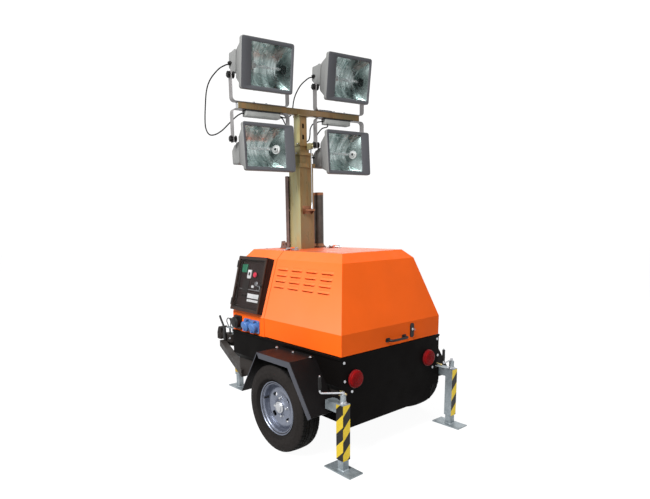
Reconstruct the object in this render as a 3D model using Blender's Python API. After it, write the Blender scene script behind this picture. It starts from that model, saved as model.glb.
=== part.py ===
"""Mobile light tower: a single-axle trailer with a telescopic mast and four floodlights.

Metres. In the trailer's own frame +X is forward to the drawbar, +Y is left, +Z is up,
with x = 0 above the axle and z = 0 on the ground. The empty "trailer" moves that frame
so that the world's origin is at the bottom centre of the whole object.
"""
import math

import bmesh
import bpy
from mathutils import Matrix, Vector

# Gaps: between pieces that rest on each other, and between pieces that move
TOUCH = 0.0003
CLEAR = 0.005

# Overall reach of the object along X, from the rear foot plates to the tow coupling
REAR_X = -0.614
FRONT_X = 1.900
MIDDLE_X = (REAR_X + FRONT_X) / 2

# Wheels
TYRE_RADIUS = 0.298
TYRE_WIDTH = 0.167
RIM_RADIUS = 0.1825
WHEEL_FACE_Y = 0.713
WHEEL_Y = WHEEL_FACE_Y - TYRE_WIDTH / 2
WHEEL_SIDES = 40
HAND_HOLES = 4
HAND_HOLE_RADIUS = 0.090
HAND_HOLE_HALF_LENGTH = 0.019
HAND_HOLE_HALF_WIDTH = 0.011
SPINDLE_RADIUS = 0.020
HUB_BORE_DEPTH_Y = 0.030

# Black lower body
BODY_REAR_X = -0.421
BODY_FRONT_X = 0.818
BODY_HALF_Y = 0.500
BODY_TOP_Z = 0.688
BODY_BEVEL_Z = 0.500
BODY_BOTTOM_Z = 0.4373
BODY_BOTTOM_HALF_Y = BODY_HALF_Y - 0.040
BODY_WALL = 0.012
FLOOR_TOP_Z = 0.467

# Orange canopy: half width, rear x and front x at each level
CANOPY_WALL = 0.016
CANOPY_BOTTOM_Z = 0.6883
CANOPY_BAND_Z = 0.830
CANOPY_SLOPE_Z = 1.253
CANOPY_TOP_Z = 1.312
CANOPY_HALF_Y = BODY_HALF_Y - 0.008
SLOPE_HALF_Y = CANOPY_HALF_Y - 0.137
TOP_HALF_Y = CANOPY_HALF_Y - 0.197
SLOPE_REAR_X = -0.287
TOP_REAR_X = -0.226
TOP_FRONT_X = 0.786
SPLIT_X = 0.395
HOOD_HINGE_Z = 1.325
HINGE_Y = 0.215
HINGE_HALF_Y = 0.050
HINGE_KNUCKLE_HALF_Y = 0.018
HINGE_BARREL_RADIUS = 0.008
HINGE_PIN_RADIUS = 0.004

ENGINE_REAR_X = -0.320
ENGINE_FRONT_X = 0.300
ENGINE_HALF_Y = 0.260
ENGINE_HEIGHT = 0.513

# Chassis
RAIL_WIDTH = 0.060
RAIL_BOTTOM_Z = 0.320
RAIL_Y = BODY_HALF_Y - 0.070
DRAWBAR_BOTTOM_Z = 0.300
DRAWBAR_TOP_Z = 0.360
DRAWBAR_START_X = 0.800
DRAWBAR_TIP_X = 1.800
DRAWBAR_TIP_Y = 0.031
BEAM_FRONT_X = -0.361
BEAM_HALF_Y = BODY_HALF_Y + 0.010
BEAM_BOTTOM_Z = 0.317
BEAM_TOP_Z = 0.437
TANK_BOTTOM_Z = 0.215
TANK_FRONT_X = -0.120
AXLE_BEAM_X = 0.140
AXLE_BEAM_HALF = 0.025
AXLE_ARM_HALF_Y = 0.012
AXLE_ARM_Y = BODY_HALF_Y + 0.018

# Stabiliser legs
LEG_SIZE = 0.060
LEG_WALL = 0.006
FOOT_TUBE_SIZE = LEG_SIZE - 2 * LEG_WALL - 2 * TOUCH
FOOT_LENGTH = 0.228
FOOT_WIDTH = 0.114
FOOT_THICKNESS = 0.008
LEG_BOTTOM_Z = 0.075
LEG_TOP_Z = 0.435
REAR_LEG_X = -0.500
REAR_LEG_Y = BEAM_HALF_Y + 0.046
FRONT_LEG_X = 1.330
FRONT_LEG_Y = DRAWBAR_TIP_Y + 0.104
FRONT_LEG_BOTTOM_Z = 0.125
ARM_X = -0.391
ARM_SIZE_X = 0.040
ARM_BOTTOM_Z = 0.378
ARM_TOP_Z = 0.428
ARM_INNER_Y = 0.020

# Mast
MAST_X = 0.536
MAST_BOTTOM_Z = FLOOR_TOP_Z + TOUCH
# one row for each section: outer half width, wall, bottom z, top z, collar half width, collar height
MAST_SECTIONS = {
    "mast_outer": (0.066, 0.006, MAST_BOTTOM_Z, 1.955, 0.078, 0.030),
    "mast_section_2": (0.055, 0.005, 0.490, 2.035, 0.066, 0.020),
    "mast_section_3": (0.045, 0.005, 0.500, 2.105, 0.055, 0.020),
    "mast_section_4": (0.035, 0.005, 0.510, 2.2997, 0.000, 0.000),
}

MAST_PAD_HEIGHT = 0.040

# Lamp head: the crossbar is turned about the mast, and carries four floodlights
HEAD_CENTRE = (0.529, -0.009)
HEAD_YAW = math.radians(-7.9)
BAR_TOP_Z = 2.355
BAR_HALF_LENGTH = 0.533
BAR_SIZE = 0.045
LAMP_OFFSET_Y = 0.350
LAMP_FRONT_X = -0.129
LAMP_RISE = 0.070
LAMP_HALF_WIDTH = 0.2055
LAMP_HALF_HEIGHT = 0.165
LAMP_PIN_RADIUS = 0.0065
LAMP_BOX_HALF_Y = LAMP_HALF_WIDTH - 0.016
LAMP_CORNER = 0.018
OPENING_LOW_Y = -0.185
OPENING_HIGH_Y = 0.1275
OPENING_HALF_Z = 0.138
REFLECTOR_DEPTH = 0.109
REFLECTOR_SLANT_LOW_Y = 0.059
REFLECTOR_SLANT_HIGH_Y = 0.0765
REFLECTOR_FRONT_X = LAMP_FRONT_X + 0.008
STRAP_INNER = LAMP_HALF_WIDTH + 0.019
STRAP_THICKNESS = 0.005
STRAP_WIDTH = 0.050
STRAP_ELBOW = 0.030
# the two junction boxes under the bar, low and high y
JUNCTION_BOXES = ((0.200, 0.480), (-0.440, -0.200))
JUNCTION_LOW_Z = -BAR_SIZE - 0.045
CABLE_RADIUS = 0.0045
# each lead's route in the lamp head's frame, from a lamp's rear box to a junction box
CABLES = {
    "cable_upper_left": [
        (0.075, 0.5403, 0.262), (0.076, 0.558, 0.262), (0.082, 0.580, 0.254),
        (0.100, 0.620, 0.228), (0.122, 0.672, 0.164),
        (0.130, 0.702, 0.091), (0.130, 0.718, -0.018), (0.130, 0.726, -0.126), (0.125, 0.722, -0.180),
        (0.115, 0.702, -0.214), (0.100, 0.665, -0.212), (0.080, 0.620, -0.184), (0.048, 0.575, -0.136),
        (0.018, 0.532, -0.092), (0.0045, 0.497, -0.071), (0.004, 0.4807, -0.070),
    ],
    "cable_upper_right": [
        (0.075, -0.1597, 0.262), (0.074, -0.138, 0.262), (0.072, -0.120, 0.256),
        (0.062, -0.093, 0.240), (0.054, -0.032, 0.190),
        (0.052, 0.012, 0.127), (0.050, 0.036, 0.072), (0.048, 0.048, 0.016), (0.046, 0.062, -0.032),
        (0.041, 0.098, -0.057), (0.037, 0.128, -0.064), (0.022, 0.158, -0.065),
        (0.010, 0.183, -0.064), (0.010, 0.1993, -0.064),
    ],
    "cable_lower_left": [
        (0.075, 0.1597, -0.335), (0.077, 0.142, -0.335), (0.082, 0.124, -0.322),
        (0.084, 0.108, -0.280), (0.078, 0.100, -0.220),
        (0.060, 0.102, -0.160), (0.044, 0.112, -0.122), (0.034, 0.132, -0.098),
        (0.010, 0.158, -0.082), (-0.0095, 0.183, -0.078),
        (-0.010, 0.1993, -0.078),
    ],
    "cable_lower_right": [
        (0.075, -0.1597, -0.335), (0.077, -0.142, -0.335), (0.076, -0.130, -0.318),
        (0.066, -0.124, -0.270), (0.036, -0.133, -0.215),
        (0.012, -0.152, -0.164), (0.000, -0.185, -0.124), (-0.003, -0.222, -0.112),
        (-0.004, -0.236, -0.104), (-0.004, -0.236, -0.0908),
    ],
    "cable_mast": [
        (0.004, -0.1993, -0.070), (0.0045, -0.186, -0.070), (0.025, -0.160, -0.074),
        (0.040, -0.126, -0.090),
        (0.036, -0.100, -0.128), (0.026, -0.090, -0.172), (0.019, -0.078, -0.206), (0.0155, -0.062, -0.224),
        (0.0127, -0.0458, -0.228), (0.010, -0.0258, -0.228),
    ],
}
# one row for each lamp: side along the bar, pivot height over the bar's top, roll, tilt
LAMPS = {
    "lamp_upper_left": (1, 0.176, 0.0, -7.6),
    "lamp_upper_right": (-1, 0.176, 0.0, -7.6),
    "lamp_lower_left": (1, -0.250, 180.0, 4.2),
    "lamp_lower_right": (-1, -0.250, 180.0, 4.2),
}

# Fenders: the sheet's line in X and Z, from the front foot over the wheel to the rear foot
FENDER_TOP_Z = 2 * TYRE_RADIUS + 0.059
FENDER_FRONT_X = TYRE_RADIUS + 0.092
FENDER_REAR_X = -TYRE_RADIUS - 0.087
FENDER_LINE = [
    (FENDER_FRONT_X, FENDER_TOP_Z - 0.325),
    (FENDER_FRONT_X - 0.210, FENDER_TOP_Z),
    (FENDER_REAR_X + 0.205, FENDER_TOP_Z),
    (FENDER_REAR_X, FENDER_TOP_Z - 0.310),
]
FENDER_SHEET = 0.006
FENDER_LIP = 0.040
FENDER_OUTER_Y = WHEEL_FACE_Y - 0.001


def material(name, colour, roughness, metallic):
    """Make a Principled material."""
    made = bpy.data.materials.new(name)
    made.use_nodes = True
    shader = made.node_tree.nodes["Principled BSDF"]
    shader.inputs["Base Color"].default_value = (*colour, 1.0)
    shader.inputs["Roughness"].default_value = roughness
    shader.inputs["Metallic"].default_value = metallic
    made.diffuse_color = (*colour, 1.0)
    return made


def piece_from(mesh_builder):
    """Turn a bmesh into a loose piece with its faces pointing out."""
    bmesh.ops.recalc_face_normals(mesh_builder, faces=mesh_builder.faces)
    mesh = bpy.data.meshes.new("piece")
    mesh_builder.to_mesh(mesh)
    mesh_builder.free()
    piece = bpy.data.objects.new("piece", mesh)
    bpy.context.collection.objects.link(piece)
    return piece


def loft(rings):
    """Close a solid through rings that have the same number of points."""
    mesh_builder = bmesh.new()
    made = []
    for ring in rings:
        made.append([mesh_builder.verts.new(point) for point in ring])
    count = len(rings[0])
    for lower, upper in zip(made, made[1:]):
        for index in range(count):
            following = (index + 1) % count
            mesh_builder.faces.new((lower[index], lower[following], upper[following], upper[index]))
    mesh_builder.faces.new(made[0])
    mesh_builder.faces.new(made[-1])
    return piece_from(mesh_builder)


def block(low, high):
    """Make a box between two corners."""
    x0, y0, z0 = low
    x1, y1, z1 = high
    outline = [(x0, y0), (x1, y0), (x1, y1), (x0, y1)]
    return loft([[(x, y, z) for x, y in outline] for z in (z0, z1)])


def slab(outline, axis, low, high):
    """Extrude a flat outline along an axis; the outline holds the other two coordinates."""
    def point(pair, along):
        first, second = pair
        if axis == "X":
            return (along, first, second)
        if axis == "Y":
            return (first, along, second)
        return (first, second, along)
    return loft([[point(pair, along) for pair in outline] for along in (low, high)])


def rod(start, end, radius, sides=16):
    """Make a round rod between two points."""
    start = Vector(start)
    end = Vector(end)
    turn = (end - start).to_track_quat("Z", "Y").to_matrix()
    rings = []
    for centre in (start, end):
        ring = []
        for index in range(sides):
            angle = 2 * math.pi * (index + 0.5) / sides
            ring.append(centre + turn @ Vector((radius * math.cos(angle), radius * math.sin(angle), 0)))
        rings.append(ring)
    return loft(rings)


def turned(profile, centre, sides):
    """Turn a closed profile of (radius, y) points about the Y axis through the centre."""
    mesh_builder = bmesh.new()
    rings = []
    for index in range(sides):
        angle = 2 * math.pi * index / sides
        ring = []
        for radius, along in profile:
            ring.append(mesh_builder.verts.new((
                centre[0] + radius * math.cos(angle),
                centre[1] + along,
                centre[2] + radius * math.sin(angle),
            )))
        rings.append(ring)
    count = len(profile)
    for index in range(sides):
        here = rings[index]
        there = rings[(index + 1) % sides]
        for step in range(count):
            following = (step + 1) % count
            mesh_builder.faces.new((here[step], here[following], there[following], there[step]))
    bmesh.ops.remove_doubles(mesh_builder, verts=mesh_builder.verts, dist=1e-6)
    bmesh.ops.dissolve_degenerate(mesh_builder, edges=mesh_builder.edges, dist=1e-6)
    return piece_from(mesh_builder)


def combine(piece, tool, operation):
    """Apply one Boolean and drop its tool."""
    modifier = piece.modifiers.new("Boolean", "BOOLEAN")
    modifier.operation = operation
    modifier.object = tool
    depsgraph = bpy.context.evaluated_depsgraph_get()
    result = bpy.data.meshes.new_from_object(piece.evaluated_get(depsgraph))
    piece.modifiers.remove(modifier)
    piece.data = result
    bpy.data.objects.remove(tool)
    return piece


def fuse(piece, *others):
    """Join pieces into one solid."""
    for other in others:
        combine(piece, other, "UNION")
    return piece


def cut(piece, *tools):
    """Cut tools out of a piece."""
    for tool in tools:
        combine(piece, tool, "DIFFERENCE")
    return piece


def keep(piece, tool):
    """Keep only what lies inside the tool."""
    return combine(piece, tool, "INTERSECT")


def node(name, piece, look, parent, pivot=(0, 0, 0), smooth=False):
    """Name a finished solid, give it its material and set its origin on its pivot."""
    piece.name = name
    piece.data.name = name
    piece.data.transform(Matrix.Translation(-Vector(pivot)))
    piece.data.materials.clear()
    piece.data.materials.append(look)
    if smooth:
        piece.data.shade_smooth()
        piece.data.set_sharp_from_angle(angle=math.radians(40))
    piece.parent = parent
    piece.location = pivot
    return piece


def empty(name, location, parent=None):
    """Make a named frame for its children."""
    made = bpy.data.objects.new(name, None)
    made.location = location
    made.parent = parent
    bpy.context.collection.objects.link(made)
    return made


def square(centre_x, centre_y, half, z):
    """Give the corners of a level square."""
    return [
        (centre_x - half, centre_y - half, z),
        (centre_x + half, centre_y - half, z),
        (centre_x + half, centre_y + half, z),
        (centre_x - half, centre_y + half, z),
    ]


def post(centre_x, centre_y, half, low, high):
    """Make a square upright."""
    return loft([square(centre_x, centre_y, half, low), square(centre_x, centre_y, half, high)])


def level(rear, front, half_y, z):
    """Give one level ring of the canopy or the body."""
    return [(rear, -half_y, z), (front, -half_y, z), (front, half_y, z), (rear, half_y, z)]


def lower_body(trailer, looks):
    """The black tray under the canopy, with its bevelled sides and its rear panel."""
    outer = loft([
        level(BODY_REAR_X, BODY_FRONT_X, BODY_BOTTOM_HALF_Y, BODY_BOTTOM_Z + 0.018),
        level(BODY_REAR_X, BODY_FRONT_X, BODY_HALF_Y, BODY_BEVEL_Z),
        level(BODY_REAR_X, BODY_FRONT_X, BODY_HALF_Y, BODY_TOP_Z),
    ])
    flange_reach = 0.008
    flange_low = BODY_TOP_Z - 0.014
    flange = block(
        (BODY_REAR_X, -BODY_HALF_Y - flange_reach, flange_low),
        (BODY_FRONT_X, BODY_HALF_Y + flange_reach, BODY_TOP_Z),
    )
    skirt = block(
        (BODY_REAR_X, -BODY_BOTTOM_HALF_Y, BODY_BOTTOM_Z),
        (BODY_REAR_X + BODY_WALL, BODY_BOTTOM_HALF_Y, BODY_BEVEL_Z),
    )
    room = loft([
        level(BODY_REAR_X + BODY_WALL, BODY_FRONT_X - BODY_WALL, BODY_BOTTOM_HALF_Y - 0.004, FLOOR_TOP_Z),
        level(BODY_REAR_X + BODY_WALL, BODY_FRONT_X - BODY_WALL, BODY_HALF_Y - BODY_WALL, 0.510),
        level(
            BODY_REAR_X + BODY_WALL, BODY_FRONT_X - BODY_WALL, BODY_HALF_Y - BODY_WALL, BODY_TOP_Z + 0.01),
    ])
    body = cut(fuse(outer, flange, skirt), room)
    node("lower_body", body, looks["black"], trailer)


def canopy_shell(inset, bottom_z):
    """The canopy's outer form, or its inner form when it is inset by the wall."""
    slope_inset = inset * 1.05
    top_inset = inset * 1.10
    return loft([
        level(BODY_REAR_X + inset, BODY_FRONT_X - inset, CANOPY_HALF_Y - inset, bottom_z),
        level(BODY_REAR_X + inset, BODY_FRONT_X - inset, CANOPY_HALF_Y - inset, CANOPY_BAND_Z),
        level(
            SLOPE_REAR_X + slope_inset, BODY_FRONT_X - inset,
            SLOPE_HALF_Y - slope_inset, CANOPY_SLOPE_Z - inset * 0.3,
        ),
        level(
            TOP_REAR_X + top_inset, TOP_FRONT_X - inset,
            TOP_HALF_Y - top_inset, CANOPY_TOP_Z - inset,
        ),
    ])


def canopy(trailer, looks):
    """The fixed front section and the rear hood, hinged along the top behind the mast."""
    wide = 2.0
    below = CANOPY_BOTTOM_Z - 0.1
    front = canopy_shell(0, CANOPY_BOTTOM_Z)
    cut(front, canopy_shell(CANOPY_WALL, below))
    keep(front, block((SPLIT_X + CLEAR / 2, -wide, 0), (wide, wide, wide)))
    mast_hole = MAST_SECTIONS["mast_outer"][0] + 0.004
    cut(front, post(MAST_X, 0, mast_hole, CANOPY_TOP_Z - 0.1, CANOPY_TOP_Z + 0.1))
    node("canopy_front", front, looks["orange"], trailer)
    hinge_parts(trailer, looks)
    hood = canopy_shell(0, CANOPY_BOTTOM_Z + CLEAR)
    cut(hood, canopy_shell(CANOPY_WALL, below))
    keep(hood, block((-wide, -wide, 0), (SPLIT_X - CLEAR / 2, wide, wide)))
    for side in (-1, 1):
        low_y = side * HINGE_Y - HINGE_KNUCKLE_HALF_Y
        high_y = side * HINGE_Y + HINGE_KNUCKLE_HALF_Y
        leaf = slab(
            [
                (SPLIT_X - 0.060, CANOPY_TOP_Z - 0.002), (SPLIT_X - 0.004, CANOPY_TOP_Z - 0.002),
                (SPLIT_X + 0.002, HOOD_HINGE_Z - HINGE_BARREL_RADIUS * 0.8),
                (SPLIT_X, HOOD_HINGE_Z + HINGE_BARREL_RADIUS * 0.6),
                (SPLIT_X - 0.010, HOOD_HINGE_Z), (SPLIT_X - 0.060, CANOPY_TOP_Z + 0.005),
            ],
            "Y", low_y, high_y,
        )
        barrel = rod(
            (SPLIT_X, low_y, HOOD_HINGE_Z), (SPLIT_X, high_y, HOOD_HINGE_Z), HINGE_BARREL_RADIUS, 16)
        bore = rod(
            (SPLIT_X, low_y - 0.01, HOOD_HINGE_Z), (SPLIT_X, high_y + 0.01, HOOD_HINGE_Z),
            HINGE_PIN_RADIUS + TOUCH, 16,
        )
        fuse(hood, cut(fuse(leaf, barrel), bore))
    node("hood", hood, looks["orange"], trailer, pivot=(SPLIT_X, 0, HOOD_HINGE_Z))


def hinge_parts(trailer, looks):
    """The fixed leaves on the front section, each with two knuckles and the pin."""
    foot = CANOPY_TOP_Z + TOUCH
    for word, side in (("left", 1), ("right", -1)):
        y = side * HINGE_Y
        leaf = block(
            (SPLIT_X + 0.014, y - HINGE_HALF_Y, foot), (SPLIT_X + 0.062, y + HINGE_HALF_Y, foot + 0.004))
        for end in (-1, 1):
            inner = y + end * (HINGE_KNUCKLE_HALF_Y + TOUCH)
            outer = y + end * HINGE_HALF_Y
            arm = block(
                (SPLIT_X, min(inner, outer), HOOD_HINGE_Z - HINGE_BARREL_RADIUS),
                (SPLIT_X + 0.016, max(inner, outer), HOOD_HINGE_Z - HINGE_BARREL_RADIUS + 0.004),
            )
            riser = block(
                (SPLIT_X + 0.012, min(inner, outer), foot),
                (SPLIT_X + 0.018, max(inner, outer), HOOD_HINGE_Z - HINGE_BARREL_RADIUS + 0.004),
            )
            knuckle = rod(
                (SPLIT_X, inner, HOOD_HINGE_Z), (SPLIT_X, outer, HOOD_HINGE_Z), HINGE_BARREL_RADIUS, 16)
            fuse(leaf, riser, arm, knuckle)
        reach = HINGE_HALF_Y - 0.004
        pin = rod(
            (SPLIT_X, y - reach, HOOD_HINGE_Z), (SPLIT_X, y + reach, HOOD_HINGE_Z), HINGE_PIN_RADIUS, 16)
        node("hood_hinge_" + word, fuse(leaf, pin), looks["steel"], trailer)


def hood_fittings(trailer, looks):
    """The D handle and the latch on the hood's rear band."""
    pivot = (SPLIT_X, 0, HOOD_HINGE_Z)
    handle_z = 0.735
    handle_y = -0.015
    handle_half = 0.095
    reach = 0.045
    face = BODY_REAR_X - TOUCH
    grip = block(
        (face - reach, handle_y - handle_half, handle_z - 0.010),
        (face - reach + 0.014, handle_y + handle_half, handle_z + 0.010),
    )
    for side in (-1, 1):
        foot_y = handle_y + side * (handle_half - 0.010)
        fuse(grip, block(
            (face - reach, foot_y - 0.010, handle_z - 0.010), (face, foot_y + 0.010, handle_z + 0.010)))
    node("hood_handle", grip, looks["plastic"], trailer, pivot)
    latch_y = -0.181
    latch = block((face - 0.010, latch_y - 0.020, 0.717), (face, latch_y + 0.020, 0.817))
    node("hood_latch", latch, looks["plastic"], trailer, pivot)


def engine(trailer, looks):
    """One plain block for the engine and its generator."""
    node(
        "engine_generator",
        block(
            (ENGINE_REAR_X, -ENGINE_HALF_Y, FLOOR_TOP_Z + TOUCH),
            (ENGINE_FRONT_X, ENGINE_HALF_Y, FLOOR_TOP_Z + TOUCH + ENGINE_HEIGHT),
        ),
        looks["grey"], trailer,
    )


def on_slope(z, outward):
    """Give (y, z) on the left sloped wall at a height, moved outward along its normal."""
    run = CANOPY_HALF_Y - SLOPE_HALF_Y
    rise = CANOPY_SLOPE_Z - CANOPY_BAND_Z
    length = math.hypot(run, rise)
    y = CANOPY_HALF_Y - run * (z - CANOPY_BAND_Z) / rise
    return (y + outward * rise / length, z + outward * run / length)


PANEL_REAR_X = 0.428
PANEL_FRONT_X = 0.800
PANEL_LOW_Z = 0.846
PANEL_HIGH_Z = 1.246
PANEL_PROUD_LOW = 0.030
PANEL_PROUD_HIGH = 0.052
PANEL_BORDER = 0.028
DOOR_THICKNESS = 0.010
DOOR_AXIS_X = PANEL_FRONT_X + 0.008
DOOR_BARREL_RADIUS = 0.006
DOOR_HINGE_SHARES = (0.15, 0.85)
DOOR_KNUCKLE_SHARE = 0.030


def panel_face_point(share, outward):
    """Give (y, z) on the control box's front face, from its foot to its head."""
    low = Vector(on_slope(PANEL_LOW_Z, PANEL_PROUD_LOW))
    high = Vector(on_slope(PANEL_HIGH_Z, PANEL_PROUD_HIGH))
    along = (high - low).normalized()
    normal = Vector((along.y, -along.x))
    place = low + (high - low) * share + normal * outward
    return (place.x, place.y)


def barrel_arc(outward, first, last):
    """Give (x, outward) points round the panel door's hinge barrel, every 30 degrees."""
    points = []
    for angle in range(first, last + 1, 30):
        turn = math.radians(angle)
        points.append((
            DOOR_AXIS_X + DOOR_BARREL_RADIUS * math.cos(turn),
            outward + DOOR_BARREL_RADIUS * math.sin(turn),
        ))
    return points


def on_panel(outline, first, last):
    """Extrude an outline of (x, outward) points between two shares of the panel's height."""
    rings = []
    for share in (first, last):
        rings.append([(x, *panel_face_point(share, outward)) for x, outward in outline])
    return loft(rings)


def control_panel(trailer, looks):
    """The control box on the left sloped wall, with its glazed door hinged on the front edge."""
    low_edge = 0.060
    high_edge = 1 - low_edge
    outline = [
        on_slope(PANEL_LOW_Z, TOUCH * 2),
        panel_face_point(0, 0),
        panel_face_point(1, 0),
        on_slope(PANEL_HIGH_Z, TOUCH * 2),
    ]
    box = slab(outline, "X", PANEL_REAR_X, PANEL_FRONT_X)
    recess = [
        on_slope(PANEL_LOW_Z + 0.030, 0.006),
        panel_face_point(low_edge, 0.02),
        panel_face_point(high_edge, 0.02),
        on_slope(PANEL_HIGH_Z - 0.030, 0.006),
    ]
    cut(box, slab(recess, "X", PANEL_REAR_X + PANEL_BORDER, PANEL_FRONT_X - PANEL_BORDER))
    inner = CLEAR
    outer = CLEAR + DOOR_THICKNESS
    middle = (inner + outer) / 2
    lug_foot = PANEL_FRONT_X - 0.003
    lug = [
        (lug_foot, -0.012), (DOOR_AXIS_X + DOOR_BARREL_RADIUS, -0.012),
        *barrel_arc(middle, 0, 180),
        (DOOR_AXIS_X - DOOR_BARREL_RADIUS, -0.003), (lug_foot, -0.003),
    ]
    for share in DOOR_HINGE_SHARES:
        for end in (-1, 1):
            near = share + end * (DOOR_KNUCKLE_SHARE + 0.001)
            far = share + end * DOOR_KNUCKLE_SHARE * 2.2
            fuse(box, on_panel(lug, near, far))
    node("control_box", box, looks["plastic"], trailer)

    def leaf(first, last, inner, outer, inset):
        outline = [
            panel_face_point(first, inner), panel_face_point(last, inner),
            panel_face_point(last, outer), panel_face_point(first, outer),
        ]
        return slab(outline, "X", PANEL_REAR_X + inset, PANEL_FRONT_X - inset)

    pivot_y, pivot_z = panel_face_point(0.5, middle)
    pivot = (DOOR_AXIS_X, pivot_y, pivot_z)
    ring_edge = 0.055
    ring_width = 0.022
    door = leaf(0.0, 1.0, inner, outer, 0.0)
    cut(door, leaf(ring_edge, 1 - ring_edge, inner - 0.01, outer + 0.01, ring_width))
    for share in DOOR_HINGE_SHARES:
        first = share - DOOR_KNUCKLE_SHARE
        last = share + DOOR_KNUCKLE_SHARE
        tab = [
            (PANEL_FRONT_X - 0.004, middle - DOOR_BARREL_RADIUS / 2),
            *barrel_arc(middle, -150, 150),
            (PANEL_FRONT_X - 0.004, middle + DOOR_BARREL_RADIUS / 2),
        ]
        fuse(door, on_panel(tab, first, last))
    node("panel_door", door, looks["plastic"], trailer, pivot)
    pane_edge = ring_edge + 0.001
    pane = leaf(pane_edge, 1 - pane_edge, middle - 0.002, middle + 0.002, ring_width + TOUCH)
    node("panel_window", pane, looks["glass"], trailer, pivot)


def sockets(trailer, looks):
    """The black power inlet and the pair of blue sockets on the left band."""
    face = CANOPY_HALF_Y + TOUCH
    inlet = fuse(
        block((0.690, face, 0.705), (0.790, face + 0.012, 0.810)),
        rod((0.740, face + 0.010, 0.757), (0.740, face + 0.055, 0.757), 0.046, 20),
    )
    node("power_inlet", inlet, looks["plastic"], trailer)
    pair = block((0.452, face, 0.705), (0.648, face + 0.010, 0.800))
    for x in (0.500, 0.600):
        fuse(pair, rod((x, face + 0.008, 0.752), (x, face + 0.062, 0.744), 0.039, 20))
    node("socket_pair", pair, looks["blue"], trailer)


def tail_lights(trailer, looks):
    """Round red lights on the rear panel."""
    for name, side in (("tail_light_left", 1), ("tail_light_right", -1)):
        y = side * (BODY_HALF_Y - 0.126)
        start = (BODY_REAR_X - TOUCH, y, 0.534)
        lamp = rod(start, (BODY_REAR_X - 0.030, y, 0.534), 0.060, 32)
        node(name, lamp, looks["red"], trailer, smooth=True)


DRAWBAR_SLOPE = (RAIL_Y - DRAWBAR_TIP_Y) / (DRAWBAR_TIP_X - DRAWBAR_START_X)
DRAWBAR_REACH = RAIL_WIDTH / 2 * math.hypot(1, DRAWBAR_SLOPE)


def drawbar_side(x, outward):
    """Give y on the left drawbar member's outer side (1) or inner side (-1)."""
    return RAIL_Y - DRAWBAR_SLOPE * (x - DRAWBAR_START_X) + outward * DRAWBAR_REACH


def chassis(trailer, looks):
    """Two rails that run under the tray and close in to the drawbar's tip."""
    half = RAIL_WIDTH / 2
    back_x = DRAWBAR_START_X - 0.05
    meet_x = DRAWBAR_START_X + (RAIL_Y - DRAWBAR_REACH) / DRAWBAR_SLOPE
    for name, side in (("chassis_left", 1), ("chassis_right", -1)):
        rail = block(
            (BEAM_FRONT_X + TOUCH, side * RAIL_Y - half, RAIL_BOTTOM_Z),
            (DRAWBAR_START_X, side * RAIL_Y + half, BODY_BOTTOM_Z + 0.018 - TOUCH),
        )
        outline = [
            (back_x, side * drawbar_side(back_x, 1)),
            (DRAWBAR_TIP_X, side * drawbar_side(DRAWBAR_TIP_X, 1)),
            (DRAWBAR_TIP_X, side * TOUCH),
            (meet_x, side * TOUCH),
            (back_x, side * drawbar_side(back_x, -1)),
        ]
        member = slab(outline, "Z", DRAWBAR_BOTTOM_Z, DRAWBAR_TOP_Z)
        node(name, fuse(rail, member), looks["black"], trailer)


def rear_beam(trailer, looks):
    """The cross beam that holds the two sliding arms."""
    beam = block((BODY_REAR_X, -BEAM_HALF_Y, BEAM_BOTTOM_Z), (BEAM_FRONT_X, BEAM_HALF_Y, BEAM_TOP_Z))
    half = ARM_SIZE_X / 2 + TOUCH
    tunnel = block((ARM_X - half, -1, ARM_BOTTOM_Z - TOUCH), (ARM_X + half, 1, ARM_TOP_Z + TOUCH))
    node("rear_beam", cut(beam, tunnel), looks["black"], trailer)


def fuel_tank(trailer, looks):
    """The box that hangs behind the axle."""
    half = RAIL_Y - RAIL_WIDTH / 2 + 0.013
    tank = block((BODY_REAR_X, -half, TANK_BOTTOM_Z), (TANK_FRONT_X, half, BEAM_BOTTOM_Z - TOUCH))
    node("fuel_tank", tank, looks["black"], trailer)


def axle(trailer, looks):
    """The torsion axle: a square beam ahead of the wheels, with a trailing arm to each spindle."""
    beam_low = TYRE_RADIUS - 0.030
    beam = block(
        (AXLE_BEAM_X - AXLE_BEAM_HALF, -AXLE_ARM_Y - AXLE_ARM_HALF_Y, beam_low),
        (AXLE_BEAM_X + AXLE_BEAM_HALF, AXLE_ARM_Y + AXLE_ARM_HALF_Y, RAIL_BOTTOM_Z - TOUCH),
    )
    for side in (-1, 1):
        arm = block(
            (-0.030, side * AXLE_ARM_Y - AXLE_ARM_HALF_Y, TYRE_RADIUS - 0.028),
            (AXLE_BEAM_X, side * AXLE_ARM_Y + AXLE_ARM_HALF_Y, TYRE_RADIUS + 0.020),
        )
        spindle_end = (0, side * (WHEEL_Y + HUB_BORE_DEPTH_Y - TOUCH), TYRE_RADIUS)
        spindle = rod((0, side * (AXLE_ARM_Y - 0.003), TYRE_RADIUS), spindle_end, SPINDLE_RADIUS, 16)
        fuse(beam, arm, spindle)
    node("axle", beam, looks["black"], trailer)


def hand_hole(centre, side, turn):
    """Give the cutter for one oval hand hole, which goes through the wheel's disc."""
    outline = []
    for step in range(12):
        angle = math.tau * step / 12
        along = HAND_HOLE_HALF_LENGTH * math.cos(angle)
        out = HAND_HOLE_RADIUS + HAND_HOLE_HALF_WIDTH * math.sin(angle)
        outline.append((
            centre[0] + out * math.cos(turn) - along * math.sin(turn),
            centre[2] + out * math.sin(turn) + along * math.cos(turn),
        ))
    return slab(outline, "Y", centre[1] - 0.002, centre[1] + side * 0.040)


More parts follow.
